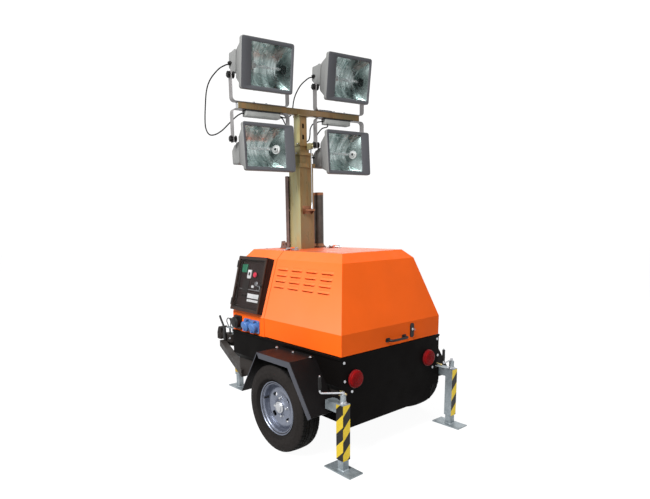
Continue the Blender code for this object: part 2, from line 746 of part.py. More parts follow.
def wheels(trailer, looks):
    """A tyre and a steel wheel on each side."""
    bead = 0.058
    tyre_half_profile = [
        (0.1653, bead), (0.186, bead), (0.205, 0.078), (0.240, TYRE_WIDTH / 2),
        (0.278, 0.075), (0.292, 0.067), (TYRE_RADIUS, 0.055),
    ]
    tyre_profile = tyre_half_profile + [(radius, -y) for radius, y in reversed(tyre_half_profile)]
    lip = bead + 0.0005
    bore = SPINDLE_RADIUS + 0.0004
    rim_profile = [
        (0.0, 0.045), (0.036, 0.045), (0.044, 0.036), (0.048, 0.016), (0.086, 0.016),
        (0.112, 0.028), (0.150, 0.016), (0.160, 0.022), (0.160, lip + 0.006),
        (RIM_RADIUS, lip + 0.006), (RIM_RADIUS, lip), (0.1648, lip),
        (0.1648, -lip), (RIM_RADIUS, -lip), (RIM_RADIUS, -lip - 0.006), (0.160, -lip - 0.006),
        (0.160, 0.010), (0.150, 0.006), (0.112, 0.018), (0.086, 0.006), (0.048, 0.006),
        (0.040, -0.020), (bore, -0.020), (bore, HUB_BORE_DEPTH_Y), (0.0, HUB_BORE_DEPTH_Y),
    ]
    for word, side in (("left", 1), ("right", -1)):
        centre = (0, side * WHEEL_Y, TYRE_RADIUS)
        tyre = turned(tyre_profile, centre, WHEEL_SIDES)
        node("tyre_" + word, tyre, looks["rubber"], trailer, centre, smooth=True)
        rim = turned([(radius, side * y) for radius, y in rim_profile], centre, WHEEL_SIDES)
        for index in range(HAND_HOLES):
            cut(rim, hand_hole(centre, side, math.tau * (index + 0.5) / HAND_HOLES))
        node("rim_" + word, rim, looks["steel"], trailer, centre, smooth=True)


def offset_line(line, distance):
    """Move a line of (x, z) points sideways, with mitred corners, to the side nearer the wheel."""
    moved = []
    points = [Vector(point) for point in line]
    for index, point in enumerate(points):
        normals = []
        for first, second in ((index - 1, index), (index, index + 1)):
            if first >= 0 and second < len(points):
                along = (points[second] - points[first]).normalized()
                normals.append(Vector((-along.y, along.x)))
        mean = sum(normals, Vector((0, 0))).normalized()
        scale = distance / mean.dot(normals[0])
        moved.append(tuple(point + mean * scale))
    return moved


def fenders(trailer, looks):
    """Angular fenders with a lip along the outer edge of the top and the rear run."""
    inner_line = offset_line(FENDER_LINE, FENDER_SHEET)
    buried_line = offset_line(FENDER_LINE, FENDER_SHEET / 2)
    lip_line = offset_line(FENDER_LINE, FENDER_LIP)
    for word, side in (("left", 1), ("right", -1)):
        inner_y = side * (BODY_HALF_Y + TOUCH)
        outer_y = side * FENDER_OUTER_Y
        sheet = slab(FENDER_LINE + inner_line[::-1], "Y", inner_y, outer_y)
        lip = slab(
            buried_line[1:] + lip_line[:0:-1], "Y", outer_y - side * FENDER_SHEET, outer_y + side * 0.001,
        )
        notch = block(
            (BODY_REAR_X - 0.01, -BEAM_HALF_Y - CLEAR, BEAM_BOTTOM_Z - CLEAR),
            (BEAM_FRONT_X + CLEAR, BEAM_HALF_Y + CLEAR, BEAM_TOP_Z + CLEAR),
        )
        node("fender_" + word, fuse(cut(sheet, notch), lip), looks["fender"], trailer)


def coupling(trailer, looks):
    """The overrun coupling on the drawbar's tip and its hand lever."""
    bottom = DRAWBAR_TOP_Z + TOUCH
    housing = block((1.620, -0.040, bottom), (1.800, 0.040, 0.440))
    head = slab(
        [(1.760, bottom), (FRONT_X, bottom), (FRONT_X, 0.430), (1.870, 0.490),
         (1.790, 0.500), (1.760, 0.440)],
        "Y", -0.034, 0.034,
    )
    cup = rod((1.858, 0, bottom - 0.010), (1.858, 0, bottom + 0.045), 0.0255, 24)
    node("tow_coupling", cut(fuse(housing, head), cup), looks["black"], trailer)
    lever = fuse(
        block((1.700, 0.0405, 0.380), (1.740, 0.055, 0.500)),
        rod((1.720, 0.0478, 0.490), (1.800, 0.0478, 0.610), 0.009, 10),
    )
    node("handbrake_lever", lever, looks["black"], trailer)


def leg_tube(x, y, bottom, top):
    """A square outer leg with a round gearbox cap."""
    tube = post(x, y, LEG_SIZE / 2, bottom, top)
    cut(tube, post(x, y, LEG_SIZE / 2 - LEG_WALL, bottom - 0.1, top - LEG_WALL))
    return fuse(tube, rod((x, y, top - 0.002), (x, y, top + 0.055), 0.018, 16))


def leg_foot(x, y, top):
    """An inner tube on a foot plate that lies on the ground."""
    foot = block(
        (x - FOOT_LENGTH / 2, y - FOOT_WIDTH / 2, 0),
        (x + FOOT_LENGTH / 2, y + FOOT_WIDTH / 2, FOOT_THICKNESS),
    )
    return fuse(foot, post(x, y, FOOT_TUBE_SIZE / 2, FOOT_THICKNESS - 0.002, top))


def crank(x, y, top, heading):
    """A crank handle on a leg's cap, turned to a heading in degrees."""
    reach = 0.140
    z = top + 0.055 + TOUCH
    end = (
        x + reach * math.cos(math.radians(heading)), y + reach * math.sin(math.radians(heading)), z + 0.012)
    shaft = rod((x, y, z), (x, y, z + 0.020), 0.009, 12)
    arm = rod((x, y, z + 0.012), end, 0.006, 10)
    grip = rod((end[0], end[1], z + 0.004), (end[0], end[1], z + 0.120), 0.011, 12)
    return fuse(shaft, arm, grip)


def stabilisers(trailer, looks):
    """Rear legs on arms that slide out of the cross beam, and one front leg by the drawbar."""
    top_inside = LEG_TOP_Z - LEG_WALL - CLEAR
    for word, side, heading in (("left", 1, 50), ("right", -1, 100)):
        y = side * REAR_LEG_Y
        half = ARM_SIZE_X / 2
        outer_y = side * (REAR_LEG_Y + LEG_SIZE / 2)
        arm = block(
            (ARM_X - half, side * ARM_INNER_Y, ARM_BOTTOM_Z),
            (ARM_X + half, outer_y - side * 0.010, ARM_TOP_Z),
        )
        head = block(
            (REAR_LEG_X + LEG_SIZE / 2 + TOUCH, outer_y - side * LEG_SIZE, ARM_BOTTOM_Z - 0.004),
            (ARM_X + half, outer_y, ARM_TOP_Z + 0.004),
        )
        node("rear_arm_" + word, fuse(head, arm), looks["galvanised"], trailer)
        tube = leg_tube(REAR_LEG_X, y, LEG_BOTTOM_Z, LEG_TOP_Z)
        node("rear_leg_" + word, tube, looks["galvanised"], trailer)
        pivot = (REAR_LEG_X, y, 0)
        foot = leg_foot(REAR_LEG_X, y, top_inside - 0.060)
        node("rear_foot_" + word, foot, looks["galvanised"], trailer, pivot)
        handle = crank(REAR_LEG_X, y, LEG_TOP_Z, heading)
        node("rear_crank_" + word, handle, looks["galvanised"], trailer)
    tube = leg_tube(FRONT_LEG_X, FRONT_LEG_Y, FRONT_LEG_BOTTOM_Z, LEG_TOP_Z)
    half = LEG_SIZE / 2
    rear_x = FRONT_LEG_X - half
    front_x = FRONT_LEG_X + half
    face_y = FRONT_LEG_Y + half - 0.002
    bracket = slab(
        [
            (rear_x, face_y), (front_x, face_y),
            (front_x, drawbar_side(front_x, -1) - TOUCH), (rear_x, drawbar_side(rear_x, -1) - TOUCH),
        ],
        "Z", DRAWBAR_BOTTOM_Z + 0.005, DRAWBAR_TOP_Z - 0.005,
    )
    node("front_leg", fuse(tube, bracket), looks["galvanised"], trailer)
    foot = leg_foot(FRONT_LEG_X, FRONT_LEG_Y, top_inside - 0.060)
    node("front_foot", foot, looks["galvanised"], trailer, (FRONT_LEG_X, FRONT_LEG_Y, 0))
    handle = crank(FRONT_LEG_X, FRONT_LEG_Y, LEG_TOP_Z, 200)
    node("front_crank", handle, looks["galvanised"], trailer)


def mast(trailer, looks):
    """Square tubes that slide out of each other, with a collar on top and a guide pad at the foot."""
    guide = None
    for name, (half, wall, low, high, collar, collar_height) in MAST_SECTIONS.items():
        tube = post(MAST_X, 0, half, low, high)
        if guide:
            fuse(tube, post(MAST_X, 0, guide - TOUCH, low, low + MAST_PAD_HEIGHT))
        if collar:
            fuse(tube, post(MAST_X, 0, collar, high - collar_height, high))
        cut(tube, post(MAST_X, 0, half - wall, low - 0.1, high + 0.1))
        node(name, tube, looks["zinc"], trailer, (MAST_X, 0, low))
        guide = half - wall


def exhaust(trailer, looks):
    """The round pipe that stands on the canopy beside the mast."""
    x = 0.585
    y = -0.215
    bottom = CANOPY_TOP_Z + TOUCH
    pipe = fuse(
        rod((x, y, bottom), (x, y, 1.750), 0.0425, 24),
        rod((x, y, bottom), (x, y, bottom + 0.006), 0.060, 24),
    )
    cut(pipe, rod((x, y, 1.650), (x, y, 1.800), 0.0385, 24))
    node("exhaust_stack", pipe, looks["grey"], trailer, smooth=True)


def bracket_outline(centre_y, pivot_z):
    """Give the (y, z) outline of a strap bent into a U round a lamp, from the bar to its pivot."""
    up = 1 if pivot_z > 0 else -1
    foot = 0.0 if up > 0 else -BAR_SIZE
    tip = pivot_z + up * STRAP_WIDTH / 2
    outer = STRAP_INNER + STRAP_THICKNESS
    bend = STRAP_ELBOW
    inner_bend = bend - STRAP_THICKNESS
    outside = []
    inside = []
    for step in range(5):
        turn = math.radians(90 * step / 4)
        lift = 1 - math.cos(turn)
        outside.append((outer - bend + bend * math.sin(turn), foot + up * (bend * lift - 0.001)))
        inside.append((
            STRAP_INNER - inner_bend + inner_bend * math.sin(turn),
            foot + up * (STRAP_THICKNESS + inner_bend * lift),
        ))
    half = outside + [(outer, tip), (STRAP_INNER, tip)] + inside[::-1]
    right = [(centre_y + y, z) for y, z in half]
    left = [(centre_y - y, z) for y, z in reversed(half)]
    return right + left


def crossbar(head, looks):
    """The bar on the mast's top, with a U bracket for each lamp and two junction boxes."""
    half = BAR_SIZE / 2
    bar = block((-half, -BAR_HALF_LENGTH, -BAR_SIZE), (half, BAR_HALF_LENGTH, 0))
    fuse(bar, block((-0.045, -0.050, -BAR_SIZE - 0.010), (0.045, 0.050, -BAR_SIZE + 0.002)))
    for side, pivot_z, _, _ in LAMPS.values():
        y = side * LAMP_OFFSET_Y
        strap = slab(bracket_outline(y, pivot_z), "X", -STRAP_WIDTH / 2, STRAP_WIDTH / 2)
        reach = STRAP_INNER + 0.020
        for edge in (-1, 1):
            start = (0, y + edge * (STRAP_INNER - 0.020), pivot_z)
            cut(strap, rod(start, (0, y + edge * reach, pivot_z), LAMP_PIN_RADIUS + TOUCH, 24))
        fuse(bar, strap)
    for low_y, high_y in JUNCTION_BOXES:
        fuse(bar, block((-0.030, low_y, JUNCTION_LOW_Z), (0.030, high_y, -BAR_SIZE + 0.004)))
    node("crossbar", bar, looks["zinc"], head)


def lamp_ring(x, low_y, high_y, low_z, high_z):
    """Give one upright ring of a lamp's housing, with heights counted from its middle."""
    low = LAMP_RISE + low_z
    high = LAMP_RISE + high_z
    return [(x, low_y, low), (x, high_y, low), (x, high_y, high), (x, low_y, high)]


def frame_ring(x):
    """Give one upright ring of a lamp's front frame, with round corners."""
    ring = []
    for corner, (side, end) in enumerate(((1, 1), (-1, 1), (-1, -1), (1, -1))):
        middle_y = side * (LAMP_HALF_WIDTH - LAMP_CORNER)
        middle_z = LAMP_RISE + end * (LAMP_HALF_HEIGHT - LAMP_CORNER)
        for step in range(3):
            turn = math.radians(90 * corner + 45 * step)
            ring.append((
                x, middle_y + LAMP_CORNER * math.cos(turn), middle_z + LAMP_CORNER * math.sin(turn)))
    return ring


def reflector_ring(depth):
    """Give one ring of the reflector's trough: parabolic in height, with slanting end walls."""
    share = depth / REFLECTOR_DEPTH
    half_z = OPENING_HALF_Z * math.sqrt(1 - share)
    low_y = OPENING_LOW_Y + REFLECTOR_SLANT_LOW_Y * share
    high_y = OPENING_HIGH_Y - REFLECTOR_SLANT_HIGH_Y * share
    return lamp_ring(REFLECTOR_FRONT_X + depth, low_y, high_y, -half_z, half_z)


def lamp_housing():
    """A tapering housing with a deep front frame, a rear box and a pin and knob on each side."""
    back = LAMP_FRONT_X + 0.030
    wide = LAMP_HALF_WIDTH
    tall = LAMP_HALF_HEIGHT
    frame = loft([frame_ring(LAMP_FRONT_X), frame_ring(back)])
    taper = loft([
        lamp_ring(back - 0.004, 0.012 - wide, wide - 0.012, 0.020 - tall, tall - 0.020),
        lamp_ring(-0.005, 0.022 - wide, wide - 0.022, -0.100, 0.112),
        lamp_ring(0.060, 0.060 - wide, wide - 0.060, -0.060, 0.085),
    ])
    rear_box = loft([
        lamp_ring(-0.010, -LAMP_BOX_HALF_Y, LAMP_BOX_HALF_Y, -0.058, 0.102),
        lamp_ring(0.062, -LAMP_BOX_HALF_Y, LAMP_BOX_HALF_Y, -0.046, 0.098),
        lamp_ring(0.112, -LAMP_BOX_HALF_Y, LAMP_BOX_HALF_Y, -0.014, 0.088),
    ])
    fuse(frame, taper, rear_box)
    mouth = lamp_ring(LAMP_FRONT_X - 0.010, OPENING_LOW_Y, OPENING_HIGH_Y, -OPENING_HALF_Z, OPENING_HALF_Z)
    depths = [REFLECTOR_DEPTH * share for share in (0.0, 0.35, 0.62, 0.82, 0.94, 0.99)]
    cut(frame, loft([mouth] + [reflector_ring(depth) for depth in depths]))
    pin_end = STRAP_INNER + STRAP_THICKNESS + 0.003
    for side in (-1, 1):
        start = (0, side * (LAMP_HALF_WIDTH - 0.050), 0)
        pin = rod(start, (0, side * (pin_end + 0.004), 0), LAMP_PIN_RADIUS, 12)
        boss = rod(start, (0, side * (STRAP_INNER - TOUCH), 0), 0.016, 12)
        knob = rod((0, side * pin_end, 0), (0, side * (pin_end + 0.018), 0), 0.022, 12)
        fuse(frame, boss, pin, knob)
    return frame


def lamp_glass():
    """The pane in a lamp's front frame."""
    low_y = OPENING_LOW_Y + TOUCH
    high_y = OPENING_HIGH_Y - TOUCH
    half_z = OPENING_HALF_Z - TOUCH
    return loft([
        lamp_ring(LAMP_FRONT_X + 0.004, low_y, high_y, -half_z, half_z),
        lamp_ring(LAMP_FRONT_X + 0.008, low_y, high_y, -half_z, half_z),
    ])


def smooth_route(route, steps):
    """Read points from a smooth curve through a route's own points."""
    points = [Vector(point) for point in route]
    ends = [points[0] * 2 - points[1], points[-1] * 2 - points[-2]]
    chain = [ends[0], *points, ends[1]]
    made = []
    for before, start, end, after in zip(chain, chain[1:], chain[2:], chain[3:]):
        for step in range(steps):
            t = step / steps
            made.append(0.5 * (
                2 * start + (end - before) * t
                + (2 * before - 5 * start + 4 * end - after) * t ** 2
                + (3 * start - before - 3 * end + after) * t ** 3
            ))
    made.append(points[-1])
    return made


def cables(head, looks):
    """The leads from the lamps to the junction boxes, and the one into the mast."""
    for name, route in CABLES.items():
        curve = bpy.data.curves.new(name, "CURVE")
        curve.dimensions = "3D"
        curve.bevel_depth = CABLE_RADIUS
        curve.bevel_resolution = 2
        curve.use_fill_caps = True
        points = smooth_route(route, 2)
        spline = curve.splines.new("POLY")
        spline.points.add(len(points) - 1)
        for place, point in zip(spline.points, points):
            place.co = (*point, 1)
        curve.materials.append(looks["rubber"])
        lead = bpy.data.objects.new(name, curve)
        bpy.context.collection.objects.link(lead)
        lead.parent = head


def lamps(head, looks):
    """Four floodlights that tilt in their brackets, the lower two turned upside down."""
    for name, (side, pivot_z, roll, tilt) in LAMPS.items():
        for suffix, build, look in (("", lamp_housing, "lamp"), ("_glass", lamp_glass, "glass")):
            made = node(name + suffix, build(), looks[look], head)
            made.location = (0, side * LAMP_OFFSET_Y, pivot_z)
            made.rotation_euler = (math.radians(roll), math.radians(tilt), 0)


def build():
    """Make the whole light tower."""
    for leftover in list(bpy.data.objects):
        bpy.data.objects.remove(leftover)
    looks = {
        "orange": material("orange paint", (0.91, 0.18, 0.02), 0.25, 0.0),
        "black": material("black paint", (0.012, 0.011, 0.011), 0.45, 0.0),
        "fender": material("grey black sheet", (0.05, 0.055, 0.065), 0.5, 0.0),
        "plastic": material("black plastic", (0.015, 0.014, 0.014), 0.4, 0.0),
        "grey": material("dark grey metal", (0.10, 0.10, 0.10), 0.5, 0.6),
        "lamp": material("grey lamp paint", (0.10, 0.105, 0.11), 0.5, 0.0),
        "galvanised": material("galvanised steel", (0.45, 0.48, 0.48), 0.45, 0.8),
        "zinc": material("yellow zinc plating", (0.42, 0.34, 0.17), 0.35, 0.8),
        "steel": material("silver wheel paint", (0.62, 0.63, 0.65), 0.35, 0.6),
        "rubber": material("tyre rubber", (0.02, 0.02, 0.02), 0.8, 0.0),
        "blue": material("blue plastic", (0.03, 0.13, 0.55), 0.4, 0.0),
        "red": material("red lens", (0.55, 0.01, 0.02), 0.2, 0.0),
        "glass": material("glass", (0.8, 0.85, 0.85), 0.05, 0.0),
    }
    trailer = empty("trailer", (-MIDDLE_X, 0, 0))
    lower_body(trailer, looks)
    canopy(trailer, looks)
    hood_fittings(trailer, looks)
    engine(trailer, looks)
    control_panel(trailer, looks)
    sockets(trailer, looks)
    tail_lights(trailer, looks)
    chassis(trailer, looks)
    rear_beam(trailer, looks)
    fuel_tank(trailer, looks)
    axle(trailer, looks)
    wheels(trailer, looks)
    fenders(trailer, looks)
    coupling(trailer, looks)
    stabilisers(trailer, looks)
    mast(trailer, looks)
    exhaust(trailer, looks)
    head = empty("mast_head", (*HEAD_CENTRE, BAR_TOP_Z), trailer)
    head.rotation_euler = (0, 0, HEAD_YAW)
    crossbar(head, looks)
    lamps(head, looks)
    cables(head, looks)


build()
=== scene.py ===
"""Looks for the mobile light tower: camera, light, materials and detailed pieces.

Metres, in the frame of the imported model: +X forward, +Y left, +Z up, with the origin at
the bottom centre of the whole object. place() turns the trailer's own coordinates, with
x = 0 above the axle, into that frame.
"""
import math
import random

import bmesh
import bpy
from mathutils import Matrix, Vector


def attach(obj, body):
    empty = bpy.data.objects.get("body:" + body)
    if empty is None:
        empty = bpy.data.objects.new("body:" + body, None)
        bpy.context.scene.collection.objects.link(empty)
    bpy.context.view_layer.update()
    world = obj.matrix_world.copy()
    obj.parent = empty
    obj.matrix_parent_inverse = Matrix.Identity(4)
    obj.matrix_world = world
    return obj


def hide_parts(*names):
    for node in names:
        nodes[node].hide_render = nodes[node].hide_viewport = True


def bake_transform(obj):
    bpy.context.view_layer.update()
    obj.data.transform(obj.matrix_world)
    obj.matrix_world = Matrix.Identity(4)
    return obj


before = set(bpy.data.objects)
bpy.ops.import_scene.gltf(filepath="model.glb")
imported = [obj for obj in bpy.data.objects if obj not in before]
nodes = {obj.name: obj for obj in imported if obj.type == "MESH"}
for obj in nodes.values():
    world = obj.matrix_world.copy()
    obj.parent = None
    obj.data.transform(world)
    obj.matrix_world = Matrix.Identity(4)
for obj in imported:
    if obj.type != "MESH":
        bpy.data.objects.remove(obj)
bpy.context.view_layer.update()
random.seed(7)

MIDDLE_X = 0.643
WHEEL_Y = 0.6295
TYRE_RADIUS = 0.298


def place(x, y, z):
    """Give a point of the trailer's own frame in the model's frame."""
    return Vector((x - MIDDLE_X, y, z))


# Camera

PHOTO_WIDTH = 650
PHOTO_HEIGHT = 499
FOCAL_PIXELS = 509.008
CENTRE_PIXEL = (303.97, 317.42)
CAMERA_PLACE = (-2.6147, 2.5932, 1.5139)
CAMERA_YAW = math.radians(-39.494)
CAMERA_PITCH = math.radians(-10.566)
CAMERA_ROLL = math.radians(-1.014)
SENSOR = 36.0


def make_camera():
    """Put the camera where the photograph was taken from."""
    forward = Vector((
        math.cos(CAMERA_PITCH) * math.cos(CAMERA_YAW),
        math.cos(CAMERA_PITCH) * math.sin(CAMERA_YAW),
        math.sin(CAMERA_PITCH),
    ))
    level = Vector((math.sin(CAMERA_YAW), -math.cos(CAMERA_YAW), 0))
    upward = level.cross(forward)
    right = math.cos(CAMERA_ROLL) * level + math.sin(CAMERA_ROLL) * upward
    above = math.cos(CAMERA_ROLL) * upward - math.sin(CAMERA_ROLL) * level
    data = bpy.data.cameras.new("camera")
    data.sensor_width = SENSOR
    data.lens = FOCAL_PIXELS / PHOTO_WIDTH * SENSOR
    data.shift_x = (PHOTO_WIDTH / 2 - CENTRE_PIXEL[0]) / PHOTO_WIDTH
    data.shift_y = (CENTRE_PIXEL[1] - PHOTO_HEIGHT / 2) / PHOTO_WIDTH
    data.clip_end = 100
    camera = bpy.data.objects.new("camera", data)
    bpy.context.collection.objects.link(camera)
    turn = Matrix((right, above, -forward)).transposed().to_4x4()
    camera.matrix_world = Matrix.Translation(place(*CAMERA_PLACE)) @ turn
    bpy.context.scene.camera = camera


# Light and stage

def add_lamp(name, spot, aim, size, power):
    """Add one soft area light."""
    data = bpy.data.lights.new(name, "AREA")
    data.size = size
    data.energy = power
    lamp = bpy.data.objects.new(name, data)
    bpy.context.collection.objects.link(lamp)
    lamp.location = spot
    lamp.rotation_euler = (Vector(aim) - Vector(spot)).to_track_quat("-Z", "Y").to_euler()


def seen_directly(tree):
    """Give a socket that is 1 for camera, glossy and transmission rays."""
    path = tree.nodes.new("ShaderNodeLightPath")
    total = path.outputs["Is Camera Ray"]
    for name in ("Is Glossy Ray", "Is Transmission Ray"):
        add = tree.nodes.new("ShaderNodeMath")
        add.operation = "MAXIMUM"
        tree.links.new(total, add.inputs[0])
        tree.links.new(path.outputs[name], add.inputs[1])
        total = add.outputs[0]
    return total


def make_stage():
    """Light a pale floor and a white surround softly from the photograph's left."""
    scene = bpy.context.scene
    scene.view_settings.view_transform = "Standard"
    world = bpy.data.worlds.new("world")
    scene.world = world
    world.use_nodes = True
    tree = world.node_tree
    surround = tree.nodes["Background"]
    surround.inputs["Color"].default_value = (0.93, 0.96, 1.0, 1)
    surround.inputs["Strength"].default_value = 0.30
    white = tree.nodes.new("ShaderNodeBackground")
    white.inputs["Color"].default_value = (1, 1, 1, 1)
    white.inputs["Strength"].default_value = 1.05
    mix = tree.nodes.new("ShaderNodeMixShader")
    tree.links.new(seen_directly(tree), mix.inputs[0])
    tree.links.new(surround.outputs[0], mix.inputs[1])
    tree.links.new(white.outputs[0], mix.inputs[2])
    tree.links.new(mix.outputs[0], tree.nodes["World Output"].inputs["Surface"])
    add_lamp("key light", (-1.7, 4.8, 5.6), (0, 0, 1.2), 2.6, 690)
    add_lamp("rear light", (-5.6, 0.6, 2.6), (0, 0, 1.0), 3.0, 25)
    add_lamp("far light", (4.0, -4.5, 4.5), (0, 0, 1.0), 3.0, 120)

    floor_look = bpy.data.materials.new("pale floor")
    floor_look.use_nodes = True
    tree = floor_look.node_tree
    shader = tree.nodes["Principled BSDF"]
    shader.inputs["Base Color"].default_value = (0.40, 0.40, 0.40, 1)
    shader.inputs["Roughness"].default_value = 0.9
    glow = tree.nodes.new("ShaderNodeEmission")
    glow.inputs["Strength"].default_value = 1.32
    share = tree.nodes.new("ShaderNodeMath")
    share.operation = "MULTIPLY"
    share.inputs[1].default_value = 0.72
    tree.links.new(seen_directly(tree), share.inputs[0])
    mix = tree.nodes.new("ShaderNodeMixShader")
    tree.links.new(share.outputs[0], mix.inputs[0])
    tree.links.new(shader.outputs[0], mix.inputs[1])
    tree.links.new(glow.outputs[0], mix.inputs[2])
    tree.links.new(mix.outputs[0], tree.nodes["Material Output"].inputs["Surface"])
    build = bmesh.new()
    bmesh.ops.create_circle(build, cap_ends=True, segments=64, radius=30)
    mesh = bpy.data.meshes.new("floor")
    build.to_mesh(mesh)
    build.free()
    floor = bpy.data.objects.new("floor", mesh)
    floor.location.z = -0.0005
    mesh.materials.append(floor_look)
    bpy.context.collection.objects.link(floor)


# Materials

class Look:
    """A Principled material with the node helpers that its detail needs."""

    def __init__(self, name, colour, roughness, metallic=0.0, coat=0.0, shine=0.5):
        self.material = bpy.data.materials.new(name)
        self.material.use_nodes = True
        self.tree = self.material.node_tree
        self.shader = self.tree.nodes["Principled BSDF"]
        self.colour = (*colour, 1)
        self.roughness = roughness
        self.set("Base Color", self.colour)
        self.set("Roughness", roughness)
        self.set("Metallic", metallic)
        self.set("Coat Weight", coat)
        self.set("Specular IOR Level", shine)
        self.set("Coat Roughness", 0.06)
        self.where = self.tree.nodes.new("ShaderNodeTexCoord")
        self.normal = None

    def set(self, name, value):
        self.shader.inputs[name].default_value = value

    def link(self, output, node, name):
        self.tree.links.new(output, node.inputs[name])

    def mapped(self, stretch=(1, 1, 1), turn=(0, 0, 0)):
        """Give object coordinates, stretched and turned."""
        mapping = self.tree.nodes.new("ShaderNodeMapping")
        mapping.inputs["Scale"].default_value = stretch
        mapping.inputs["Rotation"].default_value = turn
        self.link(self.where.outputs["Object"], mapping, "Vector")
        return mapping.outputs[0]

    def noise(self, scale, detail=5.0, stretch=(1, 1, 1), distortion=0.0):
        """Give a noise value between 0 and 1."""
        texture = self.tree.nodes.new("ShaderNodeTexNoise")
        texture.inputs["Scale"].default_value = scale
        texture.inputs["Detail"].default_value = detail
        texture.inputs["Distortion"].default_value = distortion
        self.link(self.mapped(stretch), texture, "Vector")
        return texture.outputs["Fac"]

    def cells(self, scale, stretch=(1, 1, 1)):
        """Give the colour of a pattern of cells."""
        texture = self.tree.nodes.new("ShaderNodeTexVoronoi")
        texture.inputs["Scale"].default_value = scale
        self.link(self.mapped(stretch), texture, "Vector")
        return texture.outputs["Color"]

    def ramp(self, value, stops):
        """Turn a value into a colour through (position, colour) stops."""
        node = self.tree.nodes.new("ShaderNodeValToRGB")
        while len(node.color_ramp.elements) < len(stops):
            node.color_ramp.elements.new(0.5)
        for element, (position, colour) in zip(node.color_ramp.elements, stops):
            element.position = position
            element.color = (*colour[:3], 1)
        self.link(value, node, "Fac")
        return node.outputs["Color"]

    def spread(self, value, low, high, start=0.3, end=0.7):
        """Map a value's range onto another one."""
        node = self.tree.nodes.new("ShaderNodeMapRange")
        node.inputs["From Min"].default_value = start
        node.inputs["From Max"].default_value = end
        node.inputs["To Min"].default_value = low
        node.inputs["To Max"].default_value = high
        self.link(value, node, "Value")
        return node.outputs["Result"]

    def maths(self, operation, first, second):
        """Combine two values; either may be a plain number."""
        node = self.tree.nodes.new("ShaderNodeMath")
        node.operation = operation
        for index, value in enumerate((first, second)):
            if isinstance(value, (int, float)):
                node.inputs[index].default_value = value
            else:
                self.tree.links.new(value, node.inputs[index])
        return node.outputs[0]

    def mix(self, factor, first, second):
        """Mix two colours by a factor socket."""
        node = self.tree.nodes.new("ShaderNodeMix")
        node.data_type = "RGBA"
        sockets = [socket for socket in node.inputs if socket.type == "RGBA"]
        self.tree.links.new(factor, node.inputs[0])
        for socket, value in zip(sockets, (first, second)):
            if isinstance(value, tuple):
                socket.default_value = value
            else:
                self.tree.links.new(value, socket)
        return [socket for socket in node.outputs if socket.type == "RGBA"][0]

    def shaded(self, share):
        """Give the look's own colour made darker or lighter."""
        return tuple(min(channel * share, 1) for channel in self.colour[:3]) + (1,)

    def paint(self, colour):
        self.link(colour, self.shader, "Base Color")

    def vary(self, amount, scale, stretch=(1, 1, 1)):
        """Let the colour drift a little over the surface."""
        drift = self.ramp(self.noise(scale, 6, stretch), [(0.3, self.shaded(1 - amount)), (0.7, self.shaded(1 + amount))])
        self.paint(drift)
        return drift

    def dust(self, base, colour, amount, scale=14.0):
        """Lay a thin dust on the faces that look up."""
        normal = self.tree.nodes.new("ShaderNodeSeparateXYZ")
        self.link(self.where.outputs["Normal"], normal, "Vector")
        upward = self.spread(normal.outputs["Z"], 0, amount, 0.2, 1.0)
        patchy = self.maths("MULTIPLY", upward, self.spread(self.noise(scale), 0.4, 1.0))
        mixed = self.mix(patchy, base, (*colour, 1))
        self.paint(mixed)
        return mixed

    def rough(self, low, high, scale, stretch=(1, 1, 1)):
        self.link(self.spread(self.noise(scale, 4, stretch), low, high), self.shader, "Roughness")

    def bump(self, height, strength, distance):
        """Add a bump on top of any bump that is there."""
        node = self.tree.nodes.new("ShaderNodeBump")
        node.inputs["Strength"].default_value = strength
        node.inputs["Distance"].default_value = distance
        self.link(height, node, "Height")
        if self.normal:
            self.link(self.normal, node, "Normal")
        self.normal = node.outputs["Normal"]
        self.link(self.normal, self.shader, "Normal")


def painted(name, colour, roughness, coat, peel=0.10, shine=0.5, dust=0.04):
    """Sprayed paint: slight drift of tone, orange peel, dust on top."""
    look = Look(name, colour, roughness, coat=coat, shine=shine)
    drift = look.vary(0.06, 2.5)
    look.dust(drift, (0.55, 0.52, 0.48), dust)
    look.rough(roughness - 0.06, roughness + 0.10, 9)
    look.bump(look.noise(420, 2), peel, 0.0006)
    look.bump(look.noise(3.0, 2), 0.10, 0.004)
    return look


def plastic(name, colour, roughness, grain=700.0, depth=0.25, shine=0.3):
    """Moulded plastic with a fine grain."""
    look = Look(name, colour, roughness, shine=shine)
    look.vary(0.12, 12)
    look.rough(roughness - 0.08, roughness + 0.08, 30)
    look.bump(look.noise(grain, 3), depth, 0.0004)
    return look


def metal(name, colour, roughness, drift=0.10, brush=(1, 1, 0.05), scratches=260.0, metallic=0.9):
    """Bare metal with fine brush lines and a cloudy tone."""
    look = Look(name, colour, roughness, metallic=metallic)
    look.vary(drift, 18)
    look.rough(roughness - 0.10, roughness + 0.12, 40, brush)
    look.bump(look.noise(scratches, 3, brush), 0.12, 0.0003)
    return look


